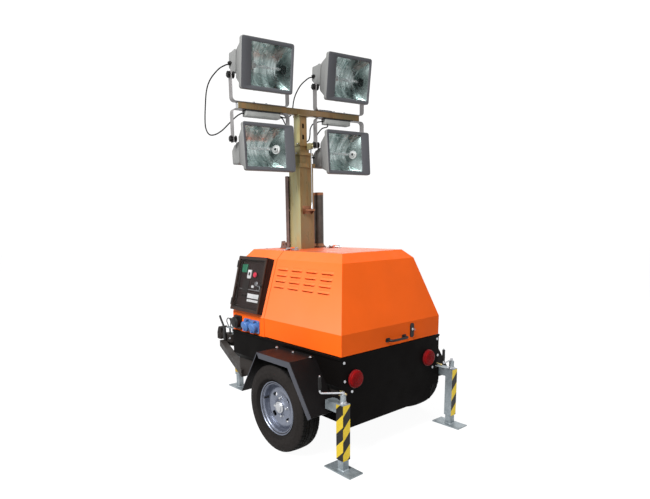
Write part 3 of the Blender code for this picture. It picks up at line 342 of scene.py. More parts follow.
def orange_look():
    """Orange spray paint, with a painted pale highlight on the slanted left wall and a painted darker reflection, in
    streaks, on the faces that look up.
    """
    look = painted("orange paint", (0.900, 0.125, 0.010), 0.42, 0.0, shine=0.06)
    normal = look.tree.nodes.new("ShaderNodeSeparateXYZ")
    look.link(look.where.outputs["Normal"], normal, "Vector")
    place_of = look.tree.nodes.new("ShaderNodeSeparateXYZ")
    look.link(look.where.outputs["Object"], place_of, "Vector")
    base = look.shader.inputs["Base Color"].links[0].from_socket
    # Painted highlight: faces that lean up and face left, more so lower down, are mixed toward pale pink orange as the
    # light on the left wall.
    lit_slope_mask = look.maths("MULTIPLY", look.spread(normal.outputs["Z"], 0, 1, 0.05, 0.25),
                         look.spread(normal.outputs["Y"], 0, 1, 0.2, 0.6))
    lower = look.spread(place_of.outputs["Z"], 0.55, 0.25, 0.85, 1.25)
    cloudy = look.spread(look.noise(1.6, 2), 0.7, 1.1)
    painted_sheen = look.maths("MULTIPLY", look.maths("MULTIPLY", lit_slope_mask, lower), cloudy)
    sides = look.mix(painted_sheen, base, (0.90, 0.255, 0.115, 1))
    # Painted reflection: faces that look straight up are mixed, in streaks, toward a darker brown red, as the glossy
    # top's reflection.
    streaks = look.spread(look.noise(5.0, 3, (0.25, 1.6, 1)), 0.25, 0.85, 0.40, 0.60)
    upward = look.maths("MULTIPLY", look.spread(normal.outputs["Z"], 0, 1, 0.97, 0.99), streaks)
    look.paint(look.mix(upward, sides, (0.34, 0.085, 0.040, 1)))
    return look


def fender_look():
    """Black fender paint, with a painted blue grey reflection on the lip that faces outward."""
    look = painted("black fender paint with painted reflection", (0.0060, 0.0050, 0.0052), 0.40, 0.0, 0.3, 0.06, 0.01)
    normal = look.tree.nodes.new("ShaderNodeSeparateXYZ")
    look.link(look.where.outputs["Normal"], normal, "Vector")
    base = look.shader.inputs["Base Color"].links[0].from_socket
    # Painted reflection: faces turned to either side are mixed toward blue grey.
    outward = look.spread(look.maths("ABSOLUTE", normal.outputs["Y"], 0), 0, 1, 0.7, 0.9)
    look.paint(look.mix(outward, base, (0.070, 0.072, 0.084, 1)))
    return look


def wall_look():
    """The reflector's end walls, with painted reflection: dark beside the bulb and paler toward the rims."""
    look = Look("reflector end wall with painted reflection", (0.095, 0.120, 0.115), 0.24, metallic=1.0)
    dark = look.vary(0.25, 14, (1, 1, 0.5))
    height = look.tree.nodes.new("ShaderNodeSeparateXYZ")
    look.link(look.where.outputs["Object"], height, "Vector")
    # Painted reflection: the walls turn from dark to pale grey green the farther a point lies above or below the bulb.
    painted_reflection_distance = look.maths("ABSOLUTE", look.maths("SUBTRACT", height.outputs["Z"], LAMP_RISE), 0)
    look.paint(look.mix(look.spread(painted_reflection_distance, 0, 1, 0.035, 0.120), dark, (0.34, 0.41, 0.40, 1)))
    look.rough(0.20, 0.34, 20)
    return look


def mirror_look():
    """A mirrored reflector with painted reflections: bright and dark upright stripes, and white painted highlights."""
    look = Look("mirrored reflector with painted reflections", (0.40, 0.46, 0.45), 0.18, metallic=1.0)
    # Painted reflections: upright light and dark stripes, with painted white highlights mixed in on top.
    painted_reflection_bands = look.ramp(look.noise(11, 2, (0.3, 2.6, 0.35), 0.3), PAINTED_REFLECTION_STOPS)
    painted_glints = look.ramp(look.noise(30, 3, (1, 1, 0.45)), [(0.56, (0.0, 0.0, 0.0)), (0.70, (1.0, 1.0, 1.0))])
    grey = look.tree.nodes.new("ShaderNodeRGBToBW")
    look.link(painted_glints, grey, "Color")
    look.paint(look.mix(grey.outputs[0], painted_reflection_bands, (0.86, 0.90, 0.89, 1)))
    look.rough(0.22, 0.34, 16)
    return look


# Colours of the painted reflection stripes.
PAINTED_REFLECTION_STOPS = [
    (0.30, (0.13, 0.17, 0.165)), (0.42, (0.30, 0.37, 0.36)), (0.52, (0.46, 0.54, 0.53)),
    (0.60, (0.72, 0.80, 0.79)), (0.70, (0.34, 0.41, 0.40)),
]


def galvanised_look():
    """Hot-dip zinc: cloudy blue grey with spangle cells."""
    look = Look("galvanised zinc", (0.30, 0.335, 0.355), 0.45, metallic=0.55)
    cloudy = look.ramp(look.noise(22, 6), [(0.3, (0.20, 0.235, 0.255)), (0.7, (0.34, 0.38, 0.40))])
    spangle = look.ramp(look.cells(160), [(0.2, (0.22, 0.255, 0.275)), (0.9, (0.38, 0.42, 0.44))])
    look.paint(look.mix(look.spread(look.noise(8), 0.2, 0.6), cloudy, spangle))
    look.rough(0.32, 0.58, 60)
    look.bump(look.noise(90, 5), 0.25, 0.0006)
    return look


GOLD_STOPS = [
    (0.30, (0.15, 0.085, 0.030)), (0.42, (0.26, 0.160, 0.060)), (0.52, (0.21, 0.155, 0.070)),
    (0.62, (0.29, 0.160, 0.060)), (0.75, (0.18, 0.165, 0.085)),
]
# Paler olive green for the faces that look left: painted light.
LIT_OLIVE_STOPS = [
    (0.30, (0.30, 0.240, 0.100)), (0.42, (0.40, 0.350, 0.160)), (0.52, (0.37, 0.360, 0.200)),
    (0.62, (0.42, 0.340, 0.150)), (0.75, (0.33, 0.360, 0.230)),
]


def scaled(stops, share):
    """Give colour stops made darker or lighter."""
    return [(position, tuple(channel * share for channel in colour)) for position, colour in stops]


def zinc_look(name, share):
    """Yellow zinc plating in gold and copper, with paler olive green painted on the left faces as painted light."""
    look = Look(name, (0.27 * share, 0.20 * share, 0.08 * share), 0.36, metallic=0.35, shine=0.3)
    normal = look.tree.nodes.new("ShaderNodeSeparateXYZ")
    look.link(look.where.outputs["Normal"], normal, "Vector")
    streaks = look.noise(7.0, 4, (1, 1, 0.22), 1.2)
    gold = look.ramp(streaks, scaled(GOLD_STOPS, share))
    olive = look.ramp(streaks, scaled(LIT_OLIVE_STOPS, share))
    # Painted light: faces that look toward +Y take the paler olive green.
    lit_left_faces = look.spread(normal.outputs["Y"], 0, 1, 0.3, 0.8)
    base = look.mix(lit_left_faces, gold, olive)
    pink = look.ramp(look.noise(3.2, 3, (1, 1, 0.35)), scaled([(0.45, (0.30, 0.17, 0.08)), (0.7, (0.42, 0.27, 0.19))], share))
    look.paint(look.mix(look.spread(look.noise(2.3, 3, (1, 1, 0.3)), 0, 0.6, 0.45, 0.7), base, pink))
    look.rough(0.24, 0.46, 30, (1, 1, 0.2))
    look.bump(look.noise(240, 3, (1, 1, 0.08)), 0.12, 0.0003)
    return look


def striped_look(toward_rear, outward):
    """Galvanised leg with yellow and black hazard tape on its rear and its outward face."""
    look = galvanised_look()
    look.material.name = "hazard tape leg"
    split = look.tree.nodes.new("ShaderNodeSeparateXYZ")
    look.link(look.where.outputs["Object"], split, "Vector")
    facing = look.tree.nodes.new("ShaderNodeSeparateXYZ")
    look.link(look.where.outputs["Normal"], facing, "Vector")
    x, y, z = (split.outputs[axis] for axis in "XYZ")
    period = 0.160
    zinc = look.shader.inputs["Base Color"].links[0].from_socket
    total = None
    for axis, other, sign, lift in (("X", y, toward_rear, REAR_STRIPE_LIFT), ("Y", x, outward, SIDE_STRIPE_LIFT)):
        on_face = look.maths("GREATER_THAN", look.maths("MULTIPLY", facing.outputs[axis], sign), 0.7)
        along = look.maths("ADD", look.maths("ADD", z, other), lift + 10 * period)
        phase = look.maths("FRACT", look.maths("DIVIDE", along, period), 0)
        stripe = look.maths("GREATER_THAN", phase, 0.5)
        colour = look.mix(stripe, (0.012, 0.011, 0.010, 1), (0.72, 0.52, 0.03, 1))
        total = look.mix(on_face, total or zinc, colour)
    taped = look.maths("GREATER_THAN", look.maths("MULTIPLY", z, -1), -STRIPE_TOP_Z)
    final = look.mix(taped, zinc, total)
    look.paint(final)
    return look


STRIPE_TOP_Z = 0.430
REAR_STRIPE_LIFT = 0.0952
SIDE_STRIPE_LIFT = 0.1553


def rubber_look(name, tone, scale, side_tone):
    """Rubber with a fine matt grain, paler with dust on its upright sides."""
    look = Look(name, (tone, tone * 0.96, tone * 0.92), 0.75, shine=0.08)
    drift = look.vary(0.25, scale)
    if side_tone:
        normal = look.tree.nodes.new("ShaderNodeSeparateXYZ")
        look.link(look.where.outputs["Normal"], normal, "Vector")
        sideways = look.spread(look.maths("ABSOLUTE", normal.outputs["Y"], 0), 0, 1, 0.55, 0.9)
        dusty = look.maths("MULTIPLY", sideways, look.spread(look.noise(scale), 0.7, 1.0))
        look.paint(look.mix(dusty, drift, (side_tone, side_tone * 0.86, side_tone * 0.80, 1)))
    look.rough(0.62, 0.88, 50)
    look.bump(look.noise(500, 3), 0.25, 0.0004)
    return look


def pane_look(name, colour, alpha, roughness=0.04):
    """A thin see-through pane that still takes reflections."""
    look = Look(name, colour, roughness, shine=0.3)
    look.set("Alpha", alpha)
    look.rough(roughness, roughness + 0.05, 14)
    look.bump(look.noise(6, 2), 0.03, 0.001)
    return look


looks = {}


def make_looks():
    """Make every material once."""
    looks["orange"] = orange_look()
    looks["black"] = painted("black body paint", (0.0036, 0.0030, 0.0028), 0.50, 0.0, shine=0.03, dust=0.006)
    looks["fender"] = fender_look()
    looks["frame"] = painted("brown black chassis paint", (0.026, 0.022, 0.020), 0.5, 0.0, 0.3, 0.08, 0.03)
    looks["lamp"] = painted("grey lamp paint", (0.180, 0.182, 0.178), 0.52, 0.0, 0.35, 0.25)
    # The front frame is the housing's grey made darker: painted shade.
    looks["bezel"] = painted("lamp frame grey with painted shade", (0.085, 0.088, 0.096), 0.50, 0.0, 0.35, 0.2)
    looks["plastic"] = plastic("black plastic", (0.010, 0.0095, 0.0095), 0.42, shine=0.2)
    looks["panel"] = plastic("brown black panel", (0.030, 0.016, 0.012), 0.45, shine=0.15)
    looks["blue"] = plastic("blue plastic", (0.060, 0.150, 0.380), 0.40, 500, 0.15)
    looks["box"] = plastic("light grey box", (0.330, 0.335, 0.320), 0.50)
    looks["sleeve"] = plastic("yellow sleeve", (0.55, 0.36, 0.03), 0.45)
    looks["white"] = plastic("white plastic", (0.92, 0.93, 0.94), 0.35)
    looks["green"] = plastic("green plastic", (0.02, 0.20, 0.11), 0.35)
    looks["redknob"] = plastic("red plastic", (0.80, 0.03, 0.08), 0.3)
    looks["plate"] = plastic("black instrument plate", (0.018, 0.011, 0.011), 0.50, 2600.0, 0.05, 0.15)
    looks["red"] = Look("red lens", (0.22, 0.004, 0.005), 0.30, shine=0.06)
    looks["red"].vary(0.15, 30)
    looks["red"].bump(looks["red"].cells(190), 0.35, 0.0012)
    looks["galvanised"] = galvanised_look()
    looks["zinc"] = zinc_look("yellow zinc plating", 1.0)
    looks["bronze"] = zinc_look("dark zinc plating", 0.72)
    looks["channel"] = metal("brown plated channel", (0.150, 0.095, 0.080), 0.45, 0.3, (1, 1, 0.1), 260, 0.4)
    looks["steel"] = metal("bright steel", (0.48, 0.49, 0.51), 0.32)
    looks["grey"] = metal("grey bracket steel", (0.24, 0.23, 0.23), 0.42, metallic=0.6)
    looks["wheel"] = metal("silver wheel paint", (0.190, 0.208, 0.258), 0.34, 0.10, (1, 1, 1), 600, 0.8)
    looks["stack"] = metal("heated stack steel", (0.085, 0.070, 0.060), 0.36, 0.3, (1, 1, 0.1), 260, 0.7)
    looks["copper"] = metal("scorched copper", (0.30, 0.13, 0.07), 0.38, 0.25, (1, 1, 1))
    looks["engine"] = metal("cast engine grey", (0.08, 0.082, 0.085), 0.55, 0.2, (1, 1, 1), 120)
    looks["rubber"] = rubber_look("tyre rubber", 0.0055, 9, 0.020)
    looks["cable"] = rubber_look("cable sheath", 0.006, 30, 0.0)
    looks["mirror"] = mirror_look()
    looks["wall"] = wall_look()
    # Near black: painted shade inside openings.
    looks["hole"] = plastic("painted shade for openings", (0.002, 0.002, 0.002), 0.8, shine=0.0)
    looks["slot"] = plastic("louvre shade", (0.650, 0.080, 0.012), 0.7, shine=0.0)
    looks["redrim"] = plastic("red light rim", (0.18, 0.004, 0.006), 0.4)
    looks["ceramic"] = plastic("white ceramic", (0.62, 0.63, 0.62), 0.25, 300, 0.05)
    looks["glass"] = pane_look("lamp glass", (0.10, 0.14, 0.135), 0.06)
    looks["bulb"] = pane_look("bulb glass", (0.70, 0.76, 0.76), 0.22, 0.02)
    looks["window"] = pane_look("tinted door window", (0.030, 0.018, 0.014), 0.14)


CAD_LOOKS = {
    "orange": ["canopy_front", "hood"],
    "black": ["lower_body", "rear_beam", "axle", "fuel_tank"],
    "frame": ["chassis_left", "chassis_right"],
    "fender": ["fender_left", "fender_right"],
    "plastic": ["control_box", "hood_latch"],
    "panel": ["panel_door"],
    "window": ["panel_window"],
    "steel": ["hood_hinge_left", "hood_hinge_right"],
    "galvanised": ["rear_arm_left", "rear_arm_right", "front_leg", "front_foot", "rear_foot_left", "rear_foot_right"],
    "zinc": ["mast_outer", "mast_section_2", "mast_section_3", "mast_section_4"],
    "engine": ["engine_generator"],
    "stack": ["exhaust_stack"],
    "cable": ["cable_upper_left", "cable_upper_right", "cable_lower_left", "cable_lower_right", "cable_mast"],
}
CAD_BEVELS = {
    "canopy_front": 0.004, "hood": 0.004, "lower_body": 0.003, "rear_beam": 0.004, "fuel_tank": 0.012,
    "chassis_left": 0.004, "chassis_right": 0.004, "control_box": 0.003, "panel_door": 0.002,
    "rear_arm_left": 0.003, "rear_arm_right": 0.003, "front_leg": 0.003,
    "rear_leg_left": 0.003, "rear_leg_right": 0.003, "rear_foot_left": 0.0015, "rear_foot_right": 0.0015,
    "front_foot": 0.0015, "mast_outer": 0.004, "mast_section_2": 0.003, "mast_section_3": 0.003,
    "mast_section_4": 0.003, "axle": 0.003, "fender_left": 0.0015, "fender_right": 0.0015,
}


def dress_cad():
    """Give the CAD nodes that stay their materials, and soften their edges."""
    for look, names in CAD_LOOKS.items():
        for name in names:
            set_look(nodes[name], looks[look])
    for word, outward in (("left", 1), ("right", -1)):
        set_look(nodes["rear_leg_" + word], striped_look(-1, outward))
    for name, width in CAD_BEVELS.items():
        soften(nodes[name], width)


def set_look(piece, look):
    """Put one material in every slot of a piece."""
    if not piece.material_slots:
        piece.data.materials.append(look.material)
    for slot in piece.material_slots:
        slot.material = look.material


def soften(piece, width, segments=2):
    """Round a piece's sharp edges with a modifier."""
    modifier = piece.modifiers.new("soft edges", "BEVEL")
    modifier.width = width
    modifier.segments = segments
    modifier.limit_method = "ANGLE"
    modifier.angle_limit = math.radians(30)
    modifier.harden_normals = False


# Mesh helpers

class Shape:
    """A mesh under construction, put together from parts in any frame."""

    def __init__(self):
        self.mesh = bmesh.new()

    def add(self, points, faces, matrix=Matrix()):
        """Add raw points and faces."""
        made = [self.mesh.verts.new(matrix @ Vector(point)) for point in points]
        for face in faces:
            self.mesh.faces.new([made[index] for index in face])

    def loft(self, rings, matrix=Matrix(), caps=(True, True), closed=True):
        """Skin a row of rings that have the same number of points."""
        count = len(rings[0])
        points = [point for ring in rings for point in ring]
        faces = []
        for row in range(len(rings) - 1):
            for index in range(count if closed else count - 1):
                after = (index + 1) % count
                faces.append((
                    row * count + index, row * count + after,
                    (row + 1) * count + after, (row + 1) * count + index,
                ))
        if caps[0]:
            faces.append(tuple(reversed(range(count))))
        if caps[1]:
            faces.append(tuple(range((len(rings) - 1) * count, len(rings) * count)))
        self.add(points, faces, matrix)

    def prism(self, outline, low, high, matrix=Matrix(), axis="Z"):
        """Extrude a closed outline along one axis."""
        self.loft([spread_ring(outline, low, axis), spread_ring(outline, high, axis)], matrix)

    def box(self, low, high, matrix=Matrix()):
        """Add a block between two corners."""
        outline = [(low[0], low[1]), (high[0], low[1]), (high[0], high[1]), (low[0], high[1])]
        self.prism(outline, low[2], high[2], matrix)

    def turned(self, profile, matrix=Matrix(), sides=32, caps=(True, True)):
        """Turn a profile of (radius, height) about the local z axis."""
        rings = [circle(radius, height, sides) for radius, height in profile]
        self.loft(rings, matrix, caps)

    def rod(self, start, end, radius, sides=16, matrix=Matrix(), soft=0.12):
        """Add a round bar with lightly rounded ends."""
        start, end = Vector(start), Vector(end)
        length = (end - start).length
        edge = min(radius * soft, length * 0.2)
        profile = [(radius - edge, 0), (radius, edge), (radius, length - edge), (radius - edge, length)]
        turn = (end - start).to_track_quat("Z", "Y").to_matrix().to_4x4()
        self.turned(profile, matrix @ Matrix.Translation(start) @ turn, sides)

    def pipe(self, route, radius, sides=12, matrix=Matrix(), flat=None):
        """Sweep a circle along a route; the flat argument, for a flat section (half width, half height), is not used.
        """
        points = [Vector(point) for point in route]
        rings = []
        across = None
        for index, point in enumerate(points):
            ahead = points[min(index + 1, len(points) - 1)]
            behind = points[max(index - 1, 0)]
            forward = (ahead - behind).normalized()
            if across is None:
                across = forward.orthogonal().normalized()
            across = (across - forward * across.dot(forward)).normalized()
            other = forward.cross(across)
            ring = []
            for step in range(sides):
                angle = math.tau * step / sides
                ring.append(point + radius * (math.cos(angle) * across + math.sin(angle) * other))
            rings.append(ring)
        self.loft(rings, matrix)

    def finish(self, name, look, body, bevel=0.0, segments=2, smooth=35, matrix=None):
        """Turn the shape into a piece that rides on a body."""
        bmesh.ops.recalc_face_normals(self.mesh, faces=self.mesh.faces)
        mesh = bpy.data.meshes.new(name)
        self.mesh.to_mesh(mesh)
        self.mesh.free()
        return add_piece(mesh, name, look, body, bevel, segments, smooth, matrix)


def add_piece(mesh, name, look, body, bevel=0.0, segments=2, smooth=35, matrix=None):
    """Add an object for a mesh, with its material, soft edges and body."""
    if not mesh.materials:
        mesh.materials.append(looks[look].material)
    mesh.shade_smooth()
    mesh.set_sharp_from_angle(angle=math.radians(smooth))
    piece = bpy.data.objects.new(name, mesh)
    bpy.context.collection.objects.link(piece)
    if matrix is not None:
        piece.matrix_world = matrix
    if bevel:
        soften(piece, bevel, segments)
    if body:
        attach(piece, body)
    return piece


def spread_ring(outline, height, axis):
    """Put a flat outline at a height along one axis."""
    if axis == "X":
        return [(height, u, v) for u, v in outline]
    if axis == "Y":
        return [(u, height, v) for u, v in outline]
    return [(u, v, height) for u, v in outline]


def circle(radius, height, sides):
    """Give a ring of points about the local z axis."""
    return [
        (radius * math.cos(math.tau * step / sides), radius * math.sin(math.tau * step / sides), height)
        for step in range(sides)
    ]


def rounded(low, high, radius, steps=4):
    """Give the outline of a rectangle with round corners."""
    corners = [(high[0], high[1], 0), (low[0], high[1], 90), (low[0], low[1], 180), (high[0], low[1], 270)]
    outline = []
    for u, v, start in corners:
        centre_u = u - radius if u == high[0] else u + radius
        centre_v = v - radius if v == high[1] else v + radius
        for step in range(steps + 1):
            angle = math.radians(start + 90 * step / steps)
            outline.append((centre_u + radius * math.cos(angle), centre_v + radius * math.sin(angle)))
    return outline


def aimed(origin, direction):
    """Give a frame at a point, with its z axis along a direction."""
    turn = Vector(direction).to_track_quat("Z", "Y").to_matrix().to_4x4()
    return Matrix.Translation(Vector(origin)) @ turn


def smooth_route(route, steps):
    """Read points from a smooth curve through a route's own points."""
    points = [Vector(point) for point in route]
    chain = [points[0] * 2 - points[1], *points, points[-1] * 2 - points[-2]]
    made = []
    for before, start, end, after in zip(chain, chain[1:], chain[2:], chain[3:]):
        for step in range(steps):
            t = step / steps
            made.append(0.5 * (
                2 * start + (end - before) * t
                + (2 * before - 5 * start + 4 * end - after) * t ** 2
                + (3 * start - before - 3 * end + after) * t ** 3
            ))
    made.append(points[-1])
    return made


# Lamps

HEAD_YAW = math.radians(-7.9)
HEAD = Matrix.Translation(place(0.529, -0.009, 2.355)) @ Matrix.Rotation(HEAD_YAW, 4, "Z")
LAMP_SIDE = 0.350
LAMPS = {
    "lamp_upper_left": (1, 0.176, 0, -7.6),
    "lamp_upper_right": (-1, 0.176, 0, -7.6),
    "lamp_lower_left": (1, -0.250, 180, 4.2),
    "lamp_lower_right": (-1, -0.250, 180, 4.2),
}
LAMP_FRONT = -0.129
LAMP_RISE = 0.070
LAMP_WIDE = 0.2055
LAMP_TALL = 0.165
OPENING_LOW_Y = -0.185
OPENING_HIGH_Y = 0.1275
OPENING_HALF_Z = 0.138
REFLECTOR_DEPTH = 0.109
REFLECTOR_FRONT = LAMP_FRONT + 0.008
BULB_X = -0.062


def lamp_frame(name):
    """Give the frame of one lamp, with its origin on its pivot."""
    side, pivot_z, roll, tilt = LAMPS[name]
    turn = Matrix.Rotation(math.radians(tilt), 4, "Y") @ Matrix.Rotation(math.radians(roll), 4, "X")
    return HEAD @ Matrix.Translation((0, side * LAMP_SIDE, pivot_z)) @ turn


def lamp_ring(x, half_y, low_z, high_z, radius, steps=4):
    """Give one upright ring of a housing, with heights counted from its middle."""
    outline = rounded((-half_y, LAMP_RISE + low_z), (half_y, LAMP_RISE + high_z), radius, steps)
    return spread_ring(outline, x, "X")


def lamp_shell():
    """The front frame, the tapering back and the stepped rear box."""
    shape = Shape()
    tall = LAMP_TALL
    shape.loft([
        lamp_ring(LAMP_FRONT, LAMP_WIDE - 0.003, -tall + 0.003, tall - 0.003, 0.016),
        lamp_ring(LAMP_FRONT + 0.003, LAMP_WIDE, -tall, tall, 0.018),
        lamp_ring(-0.101, LAMP_WIDE, -tall, tall, 0.018),
        lamp_ring(-0.099, LAMP_WIDE - 0.003, -tall + 0.003, tall - 0.003, 0.016),
        lamp_ring(-0.098, LAMP_WIDE - 0.010, -0.150, 0.150, 0.016),
        lamp_ring(-0.086, LAMP_WIDE - 0.012, -0.143, 0.144, 0.016),
        lamp_ring(-0.005, LAMP_WIDE - 0.022, -0.100, 0.112, 0.020),
        lamp_ring(0.050, 0.150, -0.066, 0.089, 0.022),
        lamp_ring(0.060, 0.140, -0.055, 0.080, 0.022),
    ], caps=(False, True))
    box = LAMP_WIDE - 0.016
    shape.loft([
        lamp_ring(-0.008, box, -0.052, 0.094, 0.010),
        lamp_ring(0.030, box, -0.054, 0.102, 0.010),
        lamp_ring(0.034, box - 0.003, -0.051, 0.099, 0.010),
        lamp_ring(0.062, box - 0.003, -0.046, 0.096, 0.010),
        lamp_ring(0.066, box, -0.044, 0.092, 0.010),
        lamp_ring(0.108, box, -0.016, 0.088, 0.010),
        lamp_ring(0.112, box - 0.004, -0.012, 0.084, 0.010),
    ])
    for y in (-0.12, -0.04, 0.04, 0.12):
        shape.box((-0.052, y - 0.0025, LAMP_RISE + 0.100), (0.0, y + 0.0025, LAMP_RISE + 0.127))
    return shape


def lamp_bezel():
    """The front frame round the opening, a little raised at its rim, darker grey as painted shade."""
    shape = Shape()
    opening = rounded(
        (OPENING_LOW_Y, LAMP_RISE - OPENING_HALF_Z), (OPENING_HIGH_Y, LAMP_RISE + OPENING_HALF_Z), 0.006)
    step = rounded(
        (OPENING_LOW_Y - 0.003, LAMP_RISE - OPENING_HALF_Z - 0.003),
        (OPENING_HIGH_Y + 0.003, LAMP_RISE + OPENING_HALF_Z + 0.003), 0.008)
    outer = rounded(
        (-LAMP_WIDE + 0.004, LAMP_RISE - LAMP_TALL + 0.004), (LAMP_WIDE - 0.004, LAMP_RISE + LAMP_TALL - 0.004), 0.015)
    rim = rounded(
        (-LAMP_WIDE + 0.003, LAMP_RISE - LAMP_TALL + 0.003), (LAMP_WIDE - 0.003, LAMP_RISE + LAMP_TALL - 0.003), 0.016)
    shape.loft([
        spread_ring(rim, LAMP_FRONT + 0.001, "X"), spread_ring(outer, LAMP_FRONT - 0.0015, "X"),
        spread_ring(step, LAMP_FRONT - 0.0015, "X"), spread_ring(opening, LAMP_FRONT + 0.0005, "X"),
        spread_ring(opening, REFLECTOR_FRONT + 0.004, "X"),
    ], caps=(False, False))
    return shape


def reflector_point(share_y, share_z):
    """Give a point on the mirrored trough: share_y 0 to 1 across, share_z -1 to 1 upward."""
    depth = REFLECTOR_DEPTH * (1 - share_z ** 2)
    low_y = OPENING_LOW_Y + 0.059 * depth / REFLECTOR_DEPTH
    high_y = OPENING_HIGH_Y - 0.0765 * depth / REFLECTOR_DEPTH
    y = low_y + share_y * (high_y - low_y)
    return (REFLECTOR_FRONT + depth, y, LAMP_RISE + OPENING_HALF_Z * share_z)


def reflector():
    """A mirrored trough with upright facets."""
    shape = Shape()
    facets = 9
    cuts = 4
    rows = 22
    rings = []
    for row in range(rows + 1):
        share_z = -1 + 2 * row / rows
        ring = []
        for step in range(facets * cuts + 1):
            share_y = step / (facets * cuts)
            x, y, z = reflector_point(share_y, share_z)
            swell = 0.0007 * math.sin(math.pi * (step % cuts) / cuts) * (1 - share_z ** 2)
            ring.append((x - swell, y, z))
        rings.append(ring)
    shape.loft(rings, caps=(False, False), closed=False)
    return shape


def end_walls():
    """The two slanting walls at the ends of the trough."""
    shape = Shape()
    rows = 22
    for share_y in (0, 1):
        near = []
        for row in range(rows + 1):
            share_z = -1 + 2 * row / rows
            near.append(reflector_point(share_y, share_z))
        front = [(REFLECTOR_FRONT, (OPENING_LOW_Y, OPENING_HIGH_Y)[share_y], point[2]) for point in near]
        shape.loft([near, front], caps=(False, False), closed=False)
    return shape


def wall_frame(side):
    """Give a frame on an end wall at the bulb, with its z axis into the lamp."""
    depth = BULB_X - REFLECTOR_FRONT
    slant = (0.059, 0.0765)[side > 0] / REFLECTOR_DEPTH
    edge = (OPENING_LOW_Y, OPENING_HIGH_Y)[side > 0]
    y = edge - side * slant * depth
    normal = Vector((-slant, -side, 0)).normalized()
    return aimed((BULB_X, y, LAMP_RISE), normal)


def bulb():
    """A clear double-ended bulb with its inner arc tube."""
    shape = Shape()
    start = wall_frame(1).translation.y
    length = start - 0.030 - wall_frame(-1).translation.y
    frame_of = aimed((BULB_X, start - 0.012, LAMP_RISE), (0, -1, 0))
    shape.turned([
        (0.005, 0), (0.009, 0.012), (0.0125, 0.026), (0.0135, 0.050), (0.0135, length - 0.050),
        (0.0125, length - 0.026), (0.009, length - 0.012), (0.004, length),
    ], frame_of, 20)
    shape.turned([
        (0.0015, 0.020), (0.0015, 0.055), (0.007, 0.066), (0.0075, 0.090), (0.007, 0.112), (0.0015, 0.124),
        (0.0015, length - 0.020),
    ], frame_of, 14)
    return shape


def lamp_fittings():
    """Black star knobs on round bases, and a gland on the rear box."""
    shape = Shape()
    for side in (-1, 1):
        outward = aimed((0, side * (LAMP_WIDE - 0.004), 0), (0, side, 0))
        shape.turned([(0.024, 0), (0.024, 0.004), (0.016, 0.006), (0.016, 0.0205)], outward, 20)
        knob = aimed((0, side * 0.2315, 0), (0, side, 0))
        lobes = 7
        sides = lobes * 6
        for low, high, swell in ((0, 0.016, 1.0), (0.016, 0.020, 0.8)):
            rings = []
            for height in (low, high):
                ring = []
                for step in range(sides):
                    angle = math.tau * step / sides
                    radius = (0.0195 + 0.0035 * math.cos(lobes * angle)) * swell
                    ring.append((radius * math.cos(angle), radius * math.sin(angle), height))
                rings.append(ring)
            shape.loft(rings, knob)
    gland = aimed((0.075, LAMP_WIDE - 0.017, 0.086), (0, 1, 0))
    shape.turned([(0.013, 0), (0.013, 0.006), (0.011, 0.007), (0.0105, 0.016), (0.007, 0.022), (0.0055, 0.024)], gland, 18)
    return shape


def make_lamps():
    """Build one lamp and put it in its four places."""
    parts = {
        "shell": (lamp_shell(), "lamp", 0.0),
        "bezel": (lamp_bezel(), "bezel", 0.0),
        "reflector": (reflector(), "mirror", 0.0),
        "walls": (end_walls(), "wall", 0.0),
        "bulb": (bulb(), "bulb", 0.0),
        "fittings": (lamp_fittings(), "plastic", 0.0008),
        "holder": (lamp_holder(), "ceramic", 0.0006),
        "port": (bulb_port(), "hole", 0.0),
        "pane": (lamp_pane(), "glass", 0.0),
        "trim": (lamp_trim(), "steel", 0.0),
    }
    meshes = {}
    for part, (shape, look, bevel) in parts.items():
        bmesh.ops.recalc_face_normals(shape.mesh, faces=shape.mesh.faces)
        mesh = bpy.data.meshes.new("lamp_" + part)
        shape.mesh.to_mesh(mesh)
        shape.mesh.free()
        meshes[part] = (mesh, look, bevel)
    for name in LAMPS:
        for part, (mesh, look, bevel) in meshes.items():
            smooth = 50 if part == "reflector" else 35
            piece = add_piece(mesh, f"{name}_{part}", look, name, bevel, matrix=lamp_frame(name), smooth=smooth)
            if part == "shell":
                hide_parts(name)
            if part == "pane":
                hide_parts(name + "_glass")


def lamp_holder():
    """The white ceramic ring that holds the bulb at the trough's wide end."""
    shape = Shape()
    shape.turned([
        (0.0165, 0.005), (0.026, 0.005), (0.027, 0.008), (0.030, 0.008), (0.032, 0.005), (0.032, 0.0),
    ], wall_frame(1), 28, caps=(False, False))
    shape.turned([(0.0165, 0.0), (0.0165, 0.020), (0.0145, 0.022), (0.0105, 0.022), (0.0105, 0.012)],
                 wall_frame(1), 28, caps=(False, False))
    for offset in (0.058, 0.074):
        start = wall_frame(1).translation.y - offset
        shape.turned([(0.0015, -0.006), (0.0050, -0.003), (0.0050, 0.003), (0.0015, 0.006)],
                     aimed((BULB_X, start, LAMP_RISE), (0, 1, 0)), 12)
        start = wall_frame(-1).translation.y + offset
        shape.turned([(0.0015, -0.006), (0.0050, -0.003), (0.0050, 0.003), (0.0015, 0.006)],
                     aimed((BULB_X, start, LAMP_RISE), (0, 1, 0)), 12)
    return shape


def bulb_port():
    """Painted shade: a near black disc where the bulb passes the trough's far end, and another in the bore of the
    holder.
    """
    shape = Shape()
    shape.turned([(0.030, 0.0008), (0.030, 0.0018)], wall_frame(-1), 32, caps=(False, True))
    shape.turned([(0.0104, 0.012), (0.0104, 0.013)], wall_frame(1), 20, caps=(False, True))
    return shape


